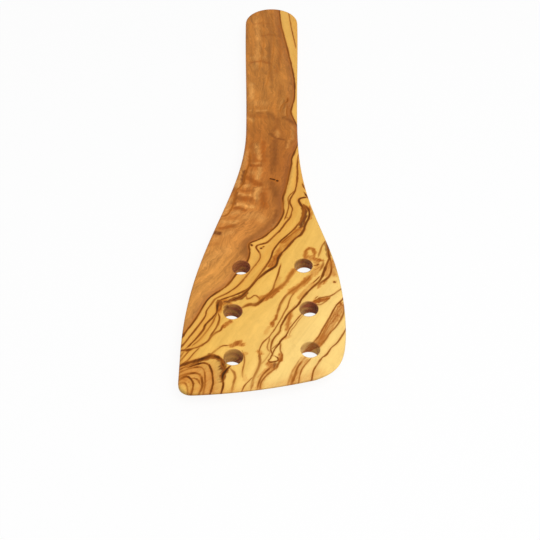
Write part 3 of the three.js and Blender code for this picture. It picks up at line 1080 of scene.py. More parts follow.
    def outline(self) -> tuple[Loop, dict[str, float]]:
        """The outline seen from above, from the middle of the left front corner round to it again.

        Every stretch is a Bezier curve: the front edge, the corners, the S-shaped flanks, the handle's
        sides and the two quarters of its rounded end.

        Returns:
            The loop, with heights counted from the blade's lowest point, and the distances round it to
            the places that divide the board's surface.
        """
        left, right = self.low[0], self.high[0]
        length, blade = self.high[1] - self.low[1], self.blade_length
        neck, end, radius = self.neck_width / 2, self.end_width / 2, self.corner_radius
        crown = length - self.crown_length
        crown_side, crown_top = crown + self.crown_length * self.quarter_arc, end * self.quarter_arc
        pull, tuck = (crown - blade) / 3, radius * (1 - self.quarter_arc)
        left_pulled = self.left_widest + self.left_blade_pull
        right_pulled = self.right_widest + self.right_blade_pull
        stretches: dict[str, list[Sequence[float]]] = {
            "front": self.front_edge(),
            "right_corner": self.right_corner(),
            "right_flank": [(right, self.right_widest), (right, right_pulled),
                            (neck, blade - self.right_neck_pull), (neck, blade)],
            "right_handle": [(neck, blade), (neck, blade + pull), (end, crown - pull), (end, crown)],
            "right_crown": [(end, crown), (end, crown_side), (crown_top, length), (0, length)],
            "left_crown": [(0, length), (-crown_top, length), (-end, crown_side), (-end, crown)],
            "left_handle": [(-end, crown), (-end, crown - pull), (-neck, blade + pull), (-neck, blade)],
            "left_flank": [(-neck, blade), (-neck, blade - self.left_neck_pull),
                           (left, left_pulled), (left, self.left_widest)],
            "left_side": [(left, self.left_widest), (left, radius)],
            "left_corner": [(left, radius), (left, tuck), (left + tuck, 0), (left + radius, 0)],
        }
        half = self.curve_steps // 2
        points = np.concatenate([bezier(points, self.curve_steps)[:-1] for points in stretches.values()])
        loop = Loop(np.roll(points, half, axis=0))
        lengths = loop.lengths()
        starts = {name: half + number * self.curve_steps for number, name in enumerate(stretches)}
        places = {
            "right_corner": lengths[starts["right_corner"] + half],
            "right_neck": lengths[starts["right_handle"]],
            "right_crown": lengths[starts["right_crown"] + half],
            "left_crown": lengths[starts["left_crown"] + half],
            "left_neck": lengths[starts["left_flank"]],
            "whole": lengths[-1],
        }
        return loop, places

    def facet_height(self, places: np.ndarray, curve: list[Sequence[float]], place: float) -> np.ndarray:
        """Height of one bevel facet over the level underside.

        With d the distance from the line that touches the curve, the section is the quadratic Bezier
        d = L - 2 (L - E) t + (L - 2 E) t^2, height = climb t^2, which leaves the flat smoothly at d = L
        and heads for the edge as from the point E. Beyond the line it goes straight on.

        Args:
            places: Places of shape (..., 2), with heights counted from the blade's lowest point.
            curve: Control points of the curve that the facet touches.
            place: Where on the curve it touches, from 0 to 1.

        Returns:
            Heights of shape (...).
        """
        climb = self.thickness - self.edge_thickness
        far, bend = self.bevel_length, self.bevel_length - self.bevel_ease
        number = int(place * self.curve_steps)
        before, touch, after = bezier(curve, self.curve_steps)[number - 1:number + 2]
        along = (after - before) / np.hypot(*(after - before))
        inward = np.array([-along[1], along[0]])
        distance = (places - touch) @ inward
        held = np.clip(distance, 0, far)
        root = np.sqrt((far - bend) ** 2 - (far - 2 * bend) * (far - held))
        share = (far - bend - root) / (far - 2 * bend)
        return climb * share**2 + np.maximum(-distance, 0) * climb / bend

    def underside(self, places: np.ndarray) -> np.ndarray:
        """Height of the underside: level, but for the higher of the two bevel facets.

        Args:
            places: Places of shape (..., 2), with heights counted from the blade's lowest point.

        Returns:
            Heights of shape (...).
        """
        front = self.facet_height(places, self.front_edge(), self.front_facet_place)
        corner = self.facet_height(places, self.right_corner(), self.corner_facet_place)
        return np.maximum(front, corner)

    def solid(self, places: np.ndarray, heights: np.ndarray | float) -> np.ndarray:
        """Points of the frame from places counted from the blade's lowest point, and their heights."""
        x, y = places[..., 0], places[..., 1] + self.low[1]
        return np.stack([x, y, np.broadcast_to(heights, x.shape)], axis=-1)

    def build(self) -> bpy.types.Object:
        """Makes the board's closed surface.

        The top and the underside share one grid inside the edge's rounding. The edge is a profile carried
        round the outline, and each hole a profile carried round its centre.

        Returns:
            The board's object.
        """
        loop, places = self.outline()
        blade, handle = self.blade_rows, self.handle_rows
        right = np.concatenate([
            np.linspace(places["right_corner"], places["right_neck"], blade + 1),
            np.linspace(places["right_neck"], places["right_crown"], handle + 1)[1:],
        ])
        left = np.concatenate([
            np.linspace(places["whole"], places["left_neck"], blade + 1),
            np.linspace(places["left_neck"], places["left_crown"], handle + 1)[1:],
        ])
        front = np.linspace(0, places["right_corner"], self.columns + 1)
        end = np.linspace(places["right_crown"], places["left_crown"], self.columns + 1)
        reach = np.concatenate([front[:-1], right[:-1], end[:-1], left[:0:-1]])

        outer, normal = loop.at(reach)
        rounding = np.minimum(self.edge_round, (self.thickness - self.underside(outer)) / 2)[:, None]
        grid = self.fill(outer - normal * rounding)
        parts = MeshParts()
        top = parts.add_points(self.solid(grid, self.thickness))
        bottom = parts.add_points(self.solid(grid, self.underside(grid)))
        kept = np.ones((len(grid) - 1, self.columns), bool)
        for hole in self.holes:
            self.drill(parts, hole, grid, top, bottom, kept)
        parts.add_quads(top, keep=kept)
        parts.add_quads(bottom[:, ::-1], keep=kept[:, ::-1])

        profile = parts.add_points(self.edge_profile(outer, normal, rounding)[1:-1])
        rings = np.concatenate([self.rim(top)[None], profile, self.rim(bottom)[None]])
        parts.add_quads(rings[::-1], closed=True)
        return parts.build("carved_spatula")

    def fill(self, rim: np.ndarray) -> np.ndarray:
        """A grid of places inside a rim.

        Straight lines join the left side to the right one, row by row. Near the front and the end, the
        rows are bent to those edges: the gap between edge and line is added, times the cube of the share
        of the way left to the far end.

        Args:
            rim: Places round the rim: front, right side, end and left side.

        Returns:
            Places of shape (rows + 1, columns + 1, 2).
        """
        rows, columns = self.blade_rows + self.handle_rows, self.columns
        closed = np.concatenate([rim, rim[:1]])
        front = closed[:columns + 1]
        right = closed[columns:columns + rows + 1]
        end = closed[columns + rows:2 * columns + rows + 1][::-1]
        left = closed[2 * columns + rows:][::-1]
        across = np.linspace(0, 1, columns + 1)[None, :, None]
        up = np.linspace(0, 1, rows + 1)[:, None, None]
        ruled = left[:, None] * (1 - across) + right[:, None] * across
        return ruled + (front - ruled[0]) * (1 - up) ** 3 + (end - ruled[-1]) * up**3

    @staticmethod
    def rim(values: np.ndarray) -> np.ndarray:
        """Values round the border of a grid, counter-clockwise from its first corner."""
        return np.concatenate([values[0, :-1], values[:-1, -1], values[-1, :0:-1], values[:0:-1, 0]])

    def edge_profile(self, outer: np.ndarray, normal: np.ndarray, rounding: np.ndarray) -> np.ndarray:
        """The edge as rings: a quarter round, a straight wall and a quarter round.

        Args:
            outer: Places round the outline.
            normal: Normals that point out of the outline there.
            rounding: Radius of the quarter rounds there, of shape (n, 1).

        Returns:
            Points of shape (rings, n, 3), from the top face to the underside.
        """
        radius = rounding[:, 0]
        floor = self.underside(outer - normal * rounding)
        turn = np.linspace(0, math.pi / 2, self.round_steps + 1)[:, None]
        wall = np.linspace(0, 1, self.wall_steps + 1)[1:-1, None]
        inset = np.concatenate([1 - np.sin(turn), 0 * wall, 1 - np.cos(turn)])
        upper, lower = self.thickness - radius, floor + radius
        heights = np.concatenate([
            upper + radius * np.cos(turn),
            upper + (lower - upper) * wall,
            lower - radius * np.sin(turn),
        ])
        return self.solid(outer - normal * (inset * radius)[..., None], heights)

    def drill(self, parts: MeshParts, hole: DrainHole, grid: np.ndarray, top: np.ndarray,
              bottom: np.ndarray, kept: np.ndarray) -> None:
        """Cuts a hole: takes a block of quads out of both faces and joins the gaps by the hole's wall.

        From each point of the block's border a collar runs straight to the hole's rim, a quarter round
        turns down into the wall, and the same follows in reverse on the underside.

        Args:
            parts: Surface that the wall is added to.
            hole: The hole.
            grid: Places of the faces' shared grid.
            top: Numbers of the top face's points.
            bottom: Numbers of the underside's points.
            kept: Which quads of the faces stay, changed here.
        """
        entry, way_out = hole.axis(np.array([0, 1]))
        gap = np.hypot(*np.moveaxis(grid - entry, 2, 0))
        row, column = np.unravel_index(gap.argmin(), gap.shape)
        rows, columns = self.hole_block
        block = np.s_[row - rows:row + rows + 1, column - columns:column + columns + 1]
        kept[row - rows:row + rows, column - columns:column + columns] = False
        start = self.rim(grid[block])

        def ring(reach: np.ndarray, heights: np.ndarray) -> np.ndarray:
            """Rings round the leaning axis.

            Args:
                reach: Distances from the axis towards the block's border.
                heights: Heights of the rings' points.

            Returns:
                Points of shape (rings, n, 3).
            """
            axis = hole.axis(1 - heights / self.thickness)
            towards = start - axis
            towards /= np.linalg.norm(towards, axis=-1, keepdims=True)
            return self.solid(axis + towards * reach[..., None], heights)

        ease, radius = self.hole_round, self.hole_radius
        turn = np.linspace(0, math.pi / 2, self.round_steps + 1)[:, None]
        by_sine, by_cosine = ease * (1 - np.sin(turn)), ease * (1 - np.cos(turn))
        upper = ring(radius + by_sine, self.thickness - by_cosine)
        towards = start - way_out
        towards /= np.linalg.norm(towards, axis=1, keepdims=True)
        floor = self.underside(way_out + towards * (radius + ease))
        lower = ring(radius + by_cosine, floor + by_sine)
        down = np.linspace(0, 1, self.hole_wall_steps + 1)[1:-1, None, None]
        wall = upper[-1] * (1 - down) + lower[0] * down
        collar = np.linspace(0, 1, self.collar_steps + 1)[1:-1, None, None]
        upper_collar = self.solid(start, self.thickness) * (1 - collar) + upper[0] * collar
        lower_places = (lower[-1][:, :2] - [0, self.low[1]]) * (1 - collar) + start * collar
        lower_collar = self.solid(lower_places, self.underside(lower_places))
        tube = parts.add_points(np.concatenate([upper_collar, upper, wall, lower, lower_collar]))
        rings = np.concatenate([self.rim(top[block])[None], tube, self.rim(bottom[block])[None]])
        parts.add_quads(rings, closed=True)

    def drilled(self, points: np.ndarray) -> tuple[np.ndarray, np.ndarray]:
        """Where the drill has passed, and how brown its wall is: the drill's burn with painted shade.

        Both are full on a hole's wall and fade out over its rounded rim. The drill's lip winds down the
        wall and leaves a screw thread, a cosine of depth and direction. The right side is painted darker
        than the left, in proportion to the place across the hole, as painted light from the right.

        Args:
            points: Points of shape (n, 3).

        Returns:
            The walls and their scorch with painted shade, each from 0 to 1 and of shape (n,).
        """
        walls, scorch = np.zeros((2, len(points)))
        drop = 1 - points[:, 2] / self.thickness
        rim = self.hole_radius + self.hole_round
        for hole in self.holes:
            x, y = (points[:, :2] - hole.axis(drop) - [0, self.low[1]]).T
            wall = fade(np.hypot(x, y), rim - self.rim_fade * self.hole_round, rim)
            thread = np.cos(self.drill_turns * 2 * math.pi * drop + np.arctan2(y, x))
            # Painted light from the right: each wall's right side darker and its left side paler
            lean = 1 + self.painted_shade_lean * x / self.hole_radius
            burn_and_shade = hole.scorch * wall * lean * (1 - self.thread_depth * (1 - thread))
            walls = np.maximum(walls, wall)
            scorch = np.maximum(scorch, np.minimum(burn_and_shade, 1))
        return walls, scorch

    def dress(self, piece: bpy.types.Object, figure: Figure, wood: "OliveWood") -> None:
        """Stores the wood's figure on the board's points and gives the board its finish.

        End grain shows as far as the surface faces along the fibres: by the square of the cosine.

        Args:
            piece: The board's object.
            figure: Figure of the wood.
            wood: Finish of the board.
        """
        mesh = piece.data
        points, normals = np.empty((2, 3 * len(mesh.vertices)), np.float32)
        mesh.vertices.foreach_get("co", points)
        mesh.vertex_normals.foreach_get("vector", normals)
        points = points.reshape(-1, 3).astype(float)
        facing = (normals.reshape(-1, 3)[:, :2] * figure.heading(points)).sum(1) ** 2
        walls, scorch = self.drilled(points)

        Stored.FLOAT_VECTOR.store(mesh, "grain", figure.grain(points))
        Stored.FLOAT.store(mesh, "end_grain", facing * (1 - (1 - self.wall_end_grain) * walls))
        Stored.FLOAT.store(mesh, "scorch", scorch)
        Stored.FLOAT_COLOR.store(mesh, "tone", figure.tones(points))
        layers = figure.vein_layers(points)
        for number, values in enumerate(layers):
            Stored.FLOAT_COLOR.store(mesh, f"vein_{number}", values)
        mesh.materials.append(wood.material(len(layers)))
        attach(piece, "root")
        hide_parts("spatula")
        LOG.info("%s: %d points, %d vein layers", piece.name, len(points), len(layers))


class Shade:
    """A shader socket that stands in Python arithmetic: each operation adds a node to its tree."""

    # Sockets of a Mix node that mixes colours, whose names aren't unique
    FACTOR, UNDER, OVER, MIXED = 0, 6, 7, 2

    def __init__(self, tree: bpy.types.NodeTree, socket: bpy.types.NodeSocket | None = None) -> None:
        """Wraps a socket, or only the tree where there is no socket yet."""
        self.tree = tree
        self.socket = socket

    @classmethod
    def blank(cls, owner: bpy.types.Material | bpy.types.World) -> "Shade":
        """Empties the nodes of a material or a world.

        Args:
            owner: The material or world.

        Returns:
            Its tree, wrapped.
        """
        owner.use_nodes = True
        owner.node_tree.nodes.clear()
        return cls(owner.node_tree)

    def node(self, kind: str, settings: dict[str, Any] | None = None,
             sockets: dict[int | str, Any] | None = None, output: int | str = 0) -> "Shade":
        """Adds any node.

        Args:
            kind: Type of the node.
            settings: Its settings, set first. A ramp's stops are pairs of a position and a colour.
            sockets: Values or links of its inputs, by number or name.
            output: Which output to give back.

        Returns:
            The output, wrapped, or only the tree for a node that has none.
        """
        made = self.tree.nodes.new(kind)
        for name, value in (settings or {}).items():
            if name == "stops":
                stops = made.color_ramp.elements
                for position, _ in value[1:-1]:
                    stops.new(position)
                for stop, (_, colour) in zip(stops, value):
                    stop.color = colour
            else:
                setattr(made, name, value)
        for name, value in (sockets or {}).items():
            if isinstance(value, Shade):
                self.tree.links.new(value.socket, made.inputs[name])
            else:
                made.inputs[name].default_value = value
        return Shade(self.tree, made.outputs[output] if made.outputs else None)

    def stored(self, name: str, output: str = "Fac") -> "Shade":
        """A value that is stored on the piece's points under a name."""
        return self.node("ShaderNodeAttribute", {"attribute_name": name}, output=output)

    def beside(self, output: int | str) -> "Shade":
        """Another output of the node that this one comes from."""
        return Shade(self.tree, self.socket.node.outputs[output])

    def math(self, operation: str, *values: Any) -> "Shade":
        """Adds a Math node with these values."""
        return self.node("ShaderNodeMath", {"operation": operation}, dict(enumerate(values)))

    def __add__(self, other: Any) -> "Shade":
        """Sum."""
        return self.math("ADD", self, other)

    def __sub__(self, other: Any) -> "Shade":
        """Difference."""
        return self.math("SUBTRACT", self, other)

    def __mul__(self, other: Any) -> "Shade":
        """Product."""
        return self.math("MULTIPLY", self, other)

    def __radd__(self, other: Any) -> "Shade":
        """Sum with a number on the left."""
        return self.math("ADD", other, self)

    def __rsub__(self, other: Any) -> "Shade":
        """Difference from a number on the left."""
        return self.math("SUBTRACT", other, self)

    def __rmul__(self, other: Any) -> "Shade":
        """Product with a number on the left."""
        return self.math("MULTIPLY", other, self)

    def __abs__(self) -> "Shade":
        """Value without its sign."""
        return self.math("ABSOLUTE", self)

    def larger(self, other: Any) -> "Shade":
        """The larger of two values."""
        return self.math("MAXIMUM", self, other)

    def step(self, start: Any, end: Any) -> "Shade":
        """A smooth step from 0 at start to 1 at end, which may be the lower of the two."""
        settings = {"interpolation_type": "SMOOTHSTEP"}
        return self.node("ShaderNodeMapRange", settings, {0: self, 1: start, 2: end})

    def parts(self) -> tuple["Shade", "Shade", "Shade"]:
        """The three numbers of a vector."""
        x = self.node("ShaderNodeSeparateXYZ", sockets={0: self})
        return x, x.beside(1), x.beside(2)

    def mix(self, under: "Shade | Colour", over: "Shade | Colour") -> "Shade":
        """Lays one colour over another, as far as this mask says."""
        sockets = {self.FACTOR: self, self.UNDER: under, self.OVER: over}
        return self.node("ShaderNodeMix", {"data_type": "RGBA"}, sockets, output=self.MIXED)

    def lit(self, light: "Shade") -> "Shade":
        """This colour times a factor, which lightens or darkens it.

        Args:
            light: The factor, 1 where the colour stays.

        Returns:
            The product.
        """
        settings = {"data_type": "RGBA", "blend_type": "MULTIPLY"}
        sockets = {self.FACTOR: 1.0, self.UNDER: self, self.OVER: light}
        return self.node("ShaderNodeMix", settings, sockets, output=self.MIXED)

    def ramp(self, stops: Stops) -> "Shade":
        """Colours that follow this value.

        Args:
            stops: Values, the first of them 0, and their colours.

        Returns:
            The colour.
        """
        longest = stops[-1][0]
        shares = [(position / longest, colour) for position, colour in stops]
        return self.node("ShaderNodeValToRGB", {"stops": shares}, {0: self * (1 / longest)})


@dataclass(frozen=True)
class Fibre:
    """A fineness of the wood's streaks: how often they repeat in each millimetre.

    Attributes:
        across: Repeats across the grain.
        along: Repeats along the grain.
        deep: Repeats downwards.
        skew: How far the streaks are staggered, in repeats along for each millimetre across.
        detail: Number of finer levels added.
        finer: Strength of each finer level against the one before.
        warp: How far the streaks are bent out of line.
    """

    across: float
    along: float
    deep: float
    skew: float
    detail: float
    finer: float = 0.55
    warp: float = 0.5

    def streaks(self, grain: tuple[Shade, Shade, Shade]) -> Shade:
        """Noise drawn out along the grain.

        Args:
            grain: Place across and along the grain and under the face.

        Returns:
            Values from about -0.3 to 0.3.
        """
        across, along, depth = grain
        place = across.node("ShaderNodeCombineXYZ", sockets={
            0: across * self.across, 1: along * self.along + across * self.skew, 2: depth * self.deep,
        })
        noise = place.node("ShaderNodeTexNoise", sockets={
            "Vector": place, "Scale": 1.0, "Detail": self.detail,
            "Roughness": self.finer, "Distortion": self.warp,
        })
        return noise - 0.5


@dataclass(frozen=True)
class Weave:
    """The streaks of one material, as shader values.

    Attributes:
        bands: Broad streaks.
        threads: Narrow streaks.
        mottle: Clouds that are only a little longer than wide.
        pits: 1 in open pores and 0 elsewhere.
    """

    bands: Shade
    threads: Shade
    mottle: Shade
    pits: Shade


# Warm orange-brown of faint stains and of the glow round the veins
AMBER = srgb(202, 108, 10)


@dataclass(frozen=True)
class Ground:
    """The wood under the veins: sapwood and heartwood with their washes. Lengths are millimetres.

    Attributes:
        sapwood: Colours at distances from the grain's run.
        heartwood: Colours at distances along the grain from the handle's end.
        heart_rim: Colour that the heartwood takes towards its edge.
        stain: Colour of a faint stain on sapwood.
        deep_stain: Colour of a strong stain, and of any stain on heartwood.
        shade: Colour of a shadow.
        pale: Colour of a pale patch.
        sap_drift: How far the broad streaks shift the sapwood's colours.
        heart_drift: How far they shift the heartwood's colours.
        heart_blend: Half the width over which heartwood turns into sapwood.
        rim_width: How far the rim's colour reaches into the heartwood.
        rim_strength: How much of it shows at the edge.
        clouding: How much the clouds break up a wash.
        streaking: How much the narrow streaks break up a wash.
        stain_cover: Strength at which a stain hides the wood under it.
        shade_cover: Strength at which a shadow does.
        sap_threads: How much the narrow streaks lighten and darken the sapwood.
        heart_threads: How much more they do so in the heartwood.
        sap_bands: How much the broad streaks and clouds lighten and darken the sapwood.
        heart_bands: How much more they do so in the heartwood.
    """

    sapwood: Stops = (
        (0, srgb(238, 182, 88)), (7, srgb(230, 168, 74)), (12, srgb(236, 183, 87)), (22, srgb(240, 190, 95)),
        (34, srgb(243, 195, 103)), (50, srgb(249, 209, 124)), (75, srgb(250, 210, 126)),
    )
    heartwood: Stops = (
        (0, srgb(190, 120, 50)), (100, srgb(194, 125, 54)), (126, srgb(186, 115, 46)),
        (165, srgb(186, 110, 43)), (200, srgb(195, 121, 52)), (228, srgb(203, 131, 60)),
        (253, srgb(213, 144, 68)), (300, srgb(218, 151, 72)),
    )
    heart_rim: Colour = srgb(146, 84, 46)
    stain: Colour = AMBER
    deep_stain: Colour = srgb(164, 90, 28)
    shade: Colour = srgb(118, 64, 22)
    pale: Colour = srgb(226, 160, 84)
    sap_drift: float = 12.0
    heart_drift: float = 40.0
    heart_blend: float = 0.2
    rim_width: float = 6.0
    rim_strength: float = 0.45
    clouding: float = 1.2
    streaking: float = 1.3
    stain_cover: float = 0.9
    shade_cover: float = 0.85
    sap_threads: float = 0.1
    heart_threads: float = 0.85
    sap_bands: float = 0.24
    heart_bands: float = 0.45

    def paint(self, tone: Shade, grain: tuple[Shade, Shade, Shade], weave: Weave) -> Shade:
        """Lays pale patches, stains and shadows over sapwood and heartwood, and streaks through all.

        Args:
            tone: Depth inside the heartwood and the washes, as stored on the board.
            grain: Place across and along the grain and under the face.
            weave: Streaks, which make the colours wander.

        Returns:
            The colour.
        """
        across, along, _ = grain
        heart, stain, shade = tone.parts()
        inside = heart.step(-self.heart_blend, self.heart_blend)
        sap = (self.sap_drift * weave.bands - across).ramp(self.sapwood)
        core = (along + self.heart_drift * weave.bands).ramp(self.heartwood)
        rim = heart.step(self.rim_width, 0) * (self.rim_strength + weave.bands)
        colour = inside.mix(sap, rim.mix(core, self.heart_rim))
        uneven = 1 + self.clouding * weave.mottle + self.streaking * weave.threads
        colour = (uneven * tone.beside("Alpha")).mix(colour, self.pale)
        stain = (uneven * stain).step(0, self.stain_cover)
        colour = stain.mix(colour, (stain * stain).larger(inside).mix(self.stain, self.deep_stain))
        colour = (uneven * shade).step(0, self.shade_cover).mix(colour, self.shade)
        fine = (self.sap_threads + self.heart_threads * inside) * weave.threads
        broad = (self.sap_bands + self.heart_bands * inside) * (weave.bands + weave.mottle)
        return colour.lit(1 + fine + broad)


@dataclass(frozen=True)
class VeinInk:
    """The dark veins and the warm glow round them. Lengths are millimetres.

    Attributes:
        colours: Colours of a vein, from its faint margin to the heart of a dark one.
        warmth: Colour of the glow.
        fray: How far the streaks shift a vein's edge.
        swell: How much the clouds widen and narrow a vein.
        reach: How far past its half width a vein starts to end, and where it has ended.
        edge: Shares of its half width where a vein is darkest and where it is gone.
        blur: Width of the soft margin past that.
        halo: How far the glow reaches past the vein.
        glow: Strength of the glow.
        body: Share of its darkness that a vein keeps on plain wood.
        patchy: How much the broad streaks change that share.
        cover: Darkness at which a vein hides the wood under it.
    """

    colours: Stops = (
        (0, srgb(188, 112, 30)), (0.4, srgb(166, 93, 22)), (0.7, srgb(124, 66, 10)), (1, srgb(70, 34, 0)),
    )
    warmth: Colour = AMBER
    fray: float = 0.5
    swell: float = 2.2
    reach: tuple[float, float] = (0.7, 1.3)
    edge: tuple[float, float] = (0.3, 1.2)
    blur: float = 0.25
    halo: float = 1.2
    glow: float = 0.28
    body: float = 0.96
    patchy: float = 1.4
    cover: float = 0.62

    def draw(self, colour: Shade, layers: int, weave: Weave) -> tuple[Shade, Shade]:
        """Draws the veins of all layers over the wood.

        Args:
            colour: Colour of the wood.
            layers: Number of vein layers stored on the board.
            weave: Streaks, which make a vein swell and shrink and fray its edge.

        Returns:
            The colour with the veins, and the veins' darkness from 0 to 1.
        """
        dark: Shade | None = None
        glow: Shade | None = None
        fray = self.fray * weave.threads + self.fray * weave.mottle
        swell = 1 + self.swell * weave.mottle
        for number in range(layers):
            layer = colour.stored(f"vein_{number}", "Vector")
            signed, distance, half = layer.parts()
            close = distance.step(half + self.reach[1], half + self.reach[0]) * layer.beside("Alpha")
            line = abs(signed + fray)
            full = half * swell
            core = line.step(full * self.edge[1] + self.blur, full * self.edge[0]) * close
            warm = line.step(full + self.halo, full) * close
            dark = core if dark is None else dark.larger(core)
            glow = warm if glow is None else glow.larger(warm)
        dark = dark * (self.body + self.patchy * weave.bands)
        colour = (self.glow * glow).mix(colour, self.warmth)
        return dark.step(0, self.cover).mix(colour, dark.ramp(self.colours)), dark


@dataclass(frozen=True)
class OliveWood:
    """Sanded and oiled olive wood: sapwood, heartwood and veins, with scorched holes in painted shade, pores
    and end grain.

    Attributes:
        ground: The wood under the veins.
        ink: The veins.
        burnt_wall_and_shade: Colour of hole walls: wood that the drill has burnt, with painted shade inside
            the hole.
        bands: Broad streaks.
        threads: Narrow streaks, which follow the heartwood's edge.
        mottle: Clouds, which make the figure curly.
        pores: Short dark pores.
        pore_edge: Values of the pores' noise where a pore starts and where it is open.
        curl: How far the clouds bend the narrow streaks, in millimetres.
        end_grain_and_shade: How much darker end grain is, and painted shade on the front edge's rim and hole
            walls.
        pore_shade: How much darker pores are.
        wall_streak_strength: How much the streaks show on the hole walls' burn and painted shade.
        roughness: Roughness of the oiled faces.
        thread_rough: How much the narrow streaks change it.
        end_rough: How much rougher end grain is.
        vein_gloss: How much smoother the veins are.
        specular: Strength of the reflections.
        relief: Height of the fine relief, in metres.
        relief_strength: How much of it shows.
        pore_depth: Depth of the pores against the narrow streaks.
        vein_depth: Depth of the veins against the narrow streaks.
    """

    ground: Ground = Ground()
    ink: VeinInk = VeinInk()
    burnt_wall_and_shade: Colour = srgb(158, 90, 58)
    bands: Fibre = Fibre(across=0.3, along=0.03, deep=0.2, skew=0.05, detail=2.0)
    threads: Fibre = Fibre(across=1.2, along=0.08, deep=0.6, skew=0.13, detail=3.0)
    mottle: Fibre = Fibre(across=0.2, along=0.13, deep=0.25, skew=0.07, detail=4.0)
    pores: Fibre = Fibre(across=5.0, along=0.45, deep=3.0, skew=0.4, detail=0.0)
    pore_edge: tuple[float, float] = (0.16, 0.24)
    curl: float = 7.0
    end_grain_and_shade: float = 0.4
    pore_shade: float = 0.07
    wall_streak_strength: float = 1.6
    roughness: float = 0.5
    thread_rough: float = 0.2
    end_rough: float = 0.1
    vein_gloss: float = 0.06
    specular: float = 0.1
    relief: float = 0.00006
    relief_strength: float = 0.5
    pore_depth: float = 1.2
    vein_depth: float = 0.3

    def weave(self, grain: tuple[Shade, Shade, Shade], heart: Shade) -> Weave:
        """The streaks. The narrow ones run along the heartwood's edge, bent by the clouds.

        Args:
            grain: Place across and along the grain and under the face.
            heart: Depth inside the heartwood.

        Returns:
            The streaks of all kinds.
        """
        mottle = self.mottle.streaks(grain)
        rings = heart + self.curl * mottle, *grain[1:]
        pits = self.pores.streaks(grain).step(*self.pore_edge)
        return Weave(self.bands.streaks(grain), self.threads.streaks(rings), mottle, pits)

    def material(self, layers: int) -> bpy.types.Material:
        """Makes the wood's material, which reads the figure stored on the board.

        Args:
            layers: Number of vein layers on the board.

        Returns:
            The material.
        """
        made = bpy.data.materials.new("oiled_olive_wood")
        root = Shade.blank(made)
        grain = root.stored("grain", "Vector").parts()
        tone = root.stored("tone", "Vector")
        scorch, end_grain = root.stored("scorch"), root.stored("end_grain")
        weave = self.weave(grain, tone.parts()[0])
        colour, dark = self.ink.draw(self.ground.paint(tone, grain, weave), layers, weave)
        # Hole walls: the drill's burn mixed with painted shade inside the holes, in one brown colour
        colour = (scorch * (1 + weave.mottle)).mix(colour, self.burnt_wall_and_shade)
        wall_streaks = 1 + self.wall_streak_strength * scorch * (weave.threads + weave.mottle)
        # End grain darkens where oil soaks in, and the same factor paints shade on the front edge's lower rim
        # and hole walls
        colour = colour.lit((1 - self.end_grain_and_shade * end_grain) * (1 - self.pore_shade * weave.pits) * wall_streaks)
        height = weave.threads - self.pore_depth * weave.pits - self.vein_depth * dark
        rough = self.roughness + self.thread_rough * weave.threads + self.end_rough * end_grain
        surface = root.node("ShaderNodeBsdfPrincipled", sockets={
            "Base Color": colour,
            "Roughness": rough - self.vein_gloss * dark,
            "Specular IOR Level": self.specular,
            "Normal": root.node("ShaderNodeBump", sockets={
                "Strength": self.relief_strength, "Distance": self.relief, "Height": height,
            }),
        })
        root.node("ShaderNodeOutputMaterial", sockets={"Surface": surface})
        return made


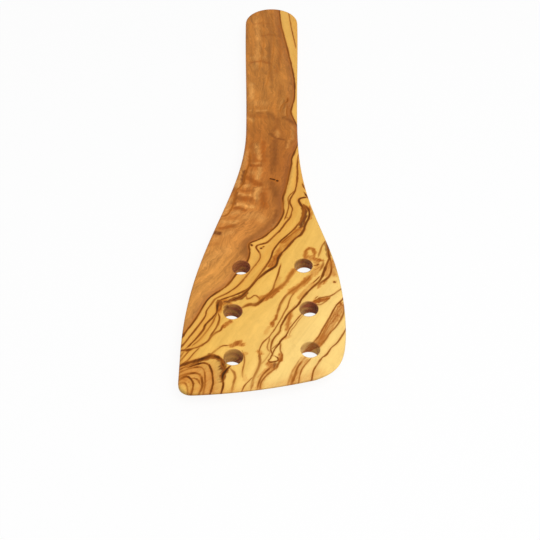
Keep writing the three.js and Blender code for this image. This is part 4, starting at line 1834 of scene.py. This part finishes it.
@dataclass(frozen=True)
class Studio:
    """A white floor and soft light from above.

    Attributes:
        floor_size: Side of the square floor.
        floor_gap: How far the floor lies under the board, so that the faces don't meet.
        floor_colour: Colour of the floor under light.
        floor_glow: Share of plain white in what the eye sees of the floor.
        sky: Strength of the light from all round.
        lamp_power: Power of the soft lamp.
        lamp_size: Side of the square lamp.
        lamp_place: Centre of the lamp.
        lamp_aim: Point that the lamp faces.
    """

    floor_size: float = 8.0
    floor_gap: float = 0.0003
    floor_colour: Colour = (0.9, 0.9, 0.9, 1.0)
    floor_glow: float = 0.9
    sky: float = 0.45
    lamp_power: float = 9.0
    lamp_size: float = 0.9
    lamp_place: Place = (0.3, -0.45, 1.0)
    lamp_aim: Place = (0.0, -0.05, 0.0)

    def build(self) -> None:
        """Adds the floor, the lamp and the light from all round."""
        self.add_floor()
        self.add_lamp()
        self.add_sky()
        bpy.context.scene.view_settings.view_transform = "Standard"

    @staticmethod
    def seen(root: Shade) -> Shade:
        """1 for rays from the eye, also off gloss or through glass, and 0 for rays of light."""
        path = root.node("ShaderNodeLightPath", output="Is Camera Ray")
        return path.larger(path.beside("Is Glossy Ray")).larger(path.beside("Is Transmission Ray"))

    def add_floor(self) -> None:
        """Adds the floor, one square, with a material that looks white but takes a soft shadow."""
        parts = MeshParts()
        side = np.array([-self.floor_size, self.floor_size]) / 2
        x, y = np.meshgrid(side, side)
        parts.add_quads(parts.add_points(np.stack([x, y, np.full_like(x, -self.floor_gap)], axis=-1)))
        floor = parts.build("studio_floor")
        made = bpy.data.materials.new("white_floor")
        root = Shade.blank(made)
        paint = root.node("ShaderNodeBsdfDiffuse", sockets={"Color": self.floor_colour})
        white = root.node("ShaderNodeEmission", sockets={"Strength": 1.0})
        share = self.floor_glow * self.seen(root)
        surface = root.node("ShaderNodeMixShader", sockets={0: share, 1: paint, 2: white})
        root.node("ShaderNodeOutputMaterial", sockets={"Surface": surface})
        floor.data.materials.append(made)

    def add_lamp(self) -> None:
        """Adds the soft lamp, which faces its aim."""
        lamp = bpy.data.lights.new("soft_lamp", "AREA")
        lamp.energy = self.lamp_power
        lamp.size = self.lamp_size
        place = bpy.data.objects.new("soft_lamp", lamp)
        place.location = self.lamp_place
        x, y, z = np.subtract(self.lamp_place, self.lamp_aim)
        place.rotation_euler = (math.atan2(math.hypot(x, y), z), 0, math.atan2(x, -y))
        bpy.context.scene.collection.objects.link(place)

    def add_sky(self) -> None:
        """Adds the light from all round, which the eye sees as white."""
        world = bpy.data.worlds.new("white_room")
        bpy.context.scene.world = world
        root = Shade.blank(world)
        strength = self.sky + (1 - self.sky) * self.seen(root)
        light = root.node("ShaderNodeBackground", sockets={"Color": (1, 1, 1, 1), "Strength": strength})
        root.node("ShaderNodeOutputWorld", sockets={"Surface": light})


def main() -> None:
    """Builds the camera, the studio and the board."""
    logging.basicConfig(level=logging.INFO, format="%(name)s: %(message)s")
    low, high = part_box("spatula")
    view = PhotoView()
    view.add_camera()
    Studio().build()
    spatula = Spatula(tuple(low), tuple(high))
    piece = spatula.build()
    spatula.dress(piece, Figure(view, spatula.thickness), OliveWood())


if __name__ == "__main__":
    main()
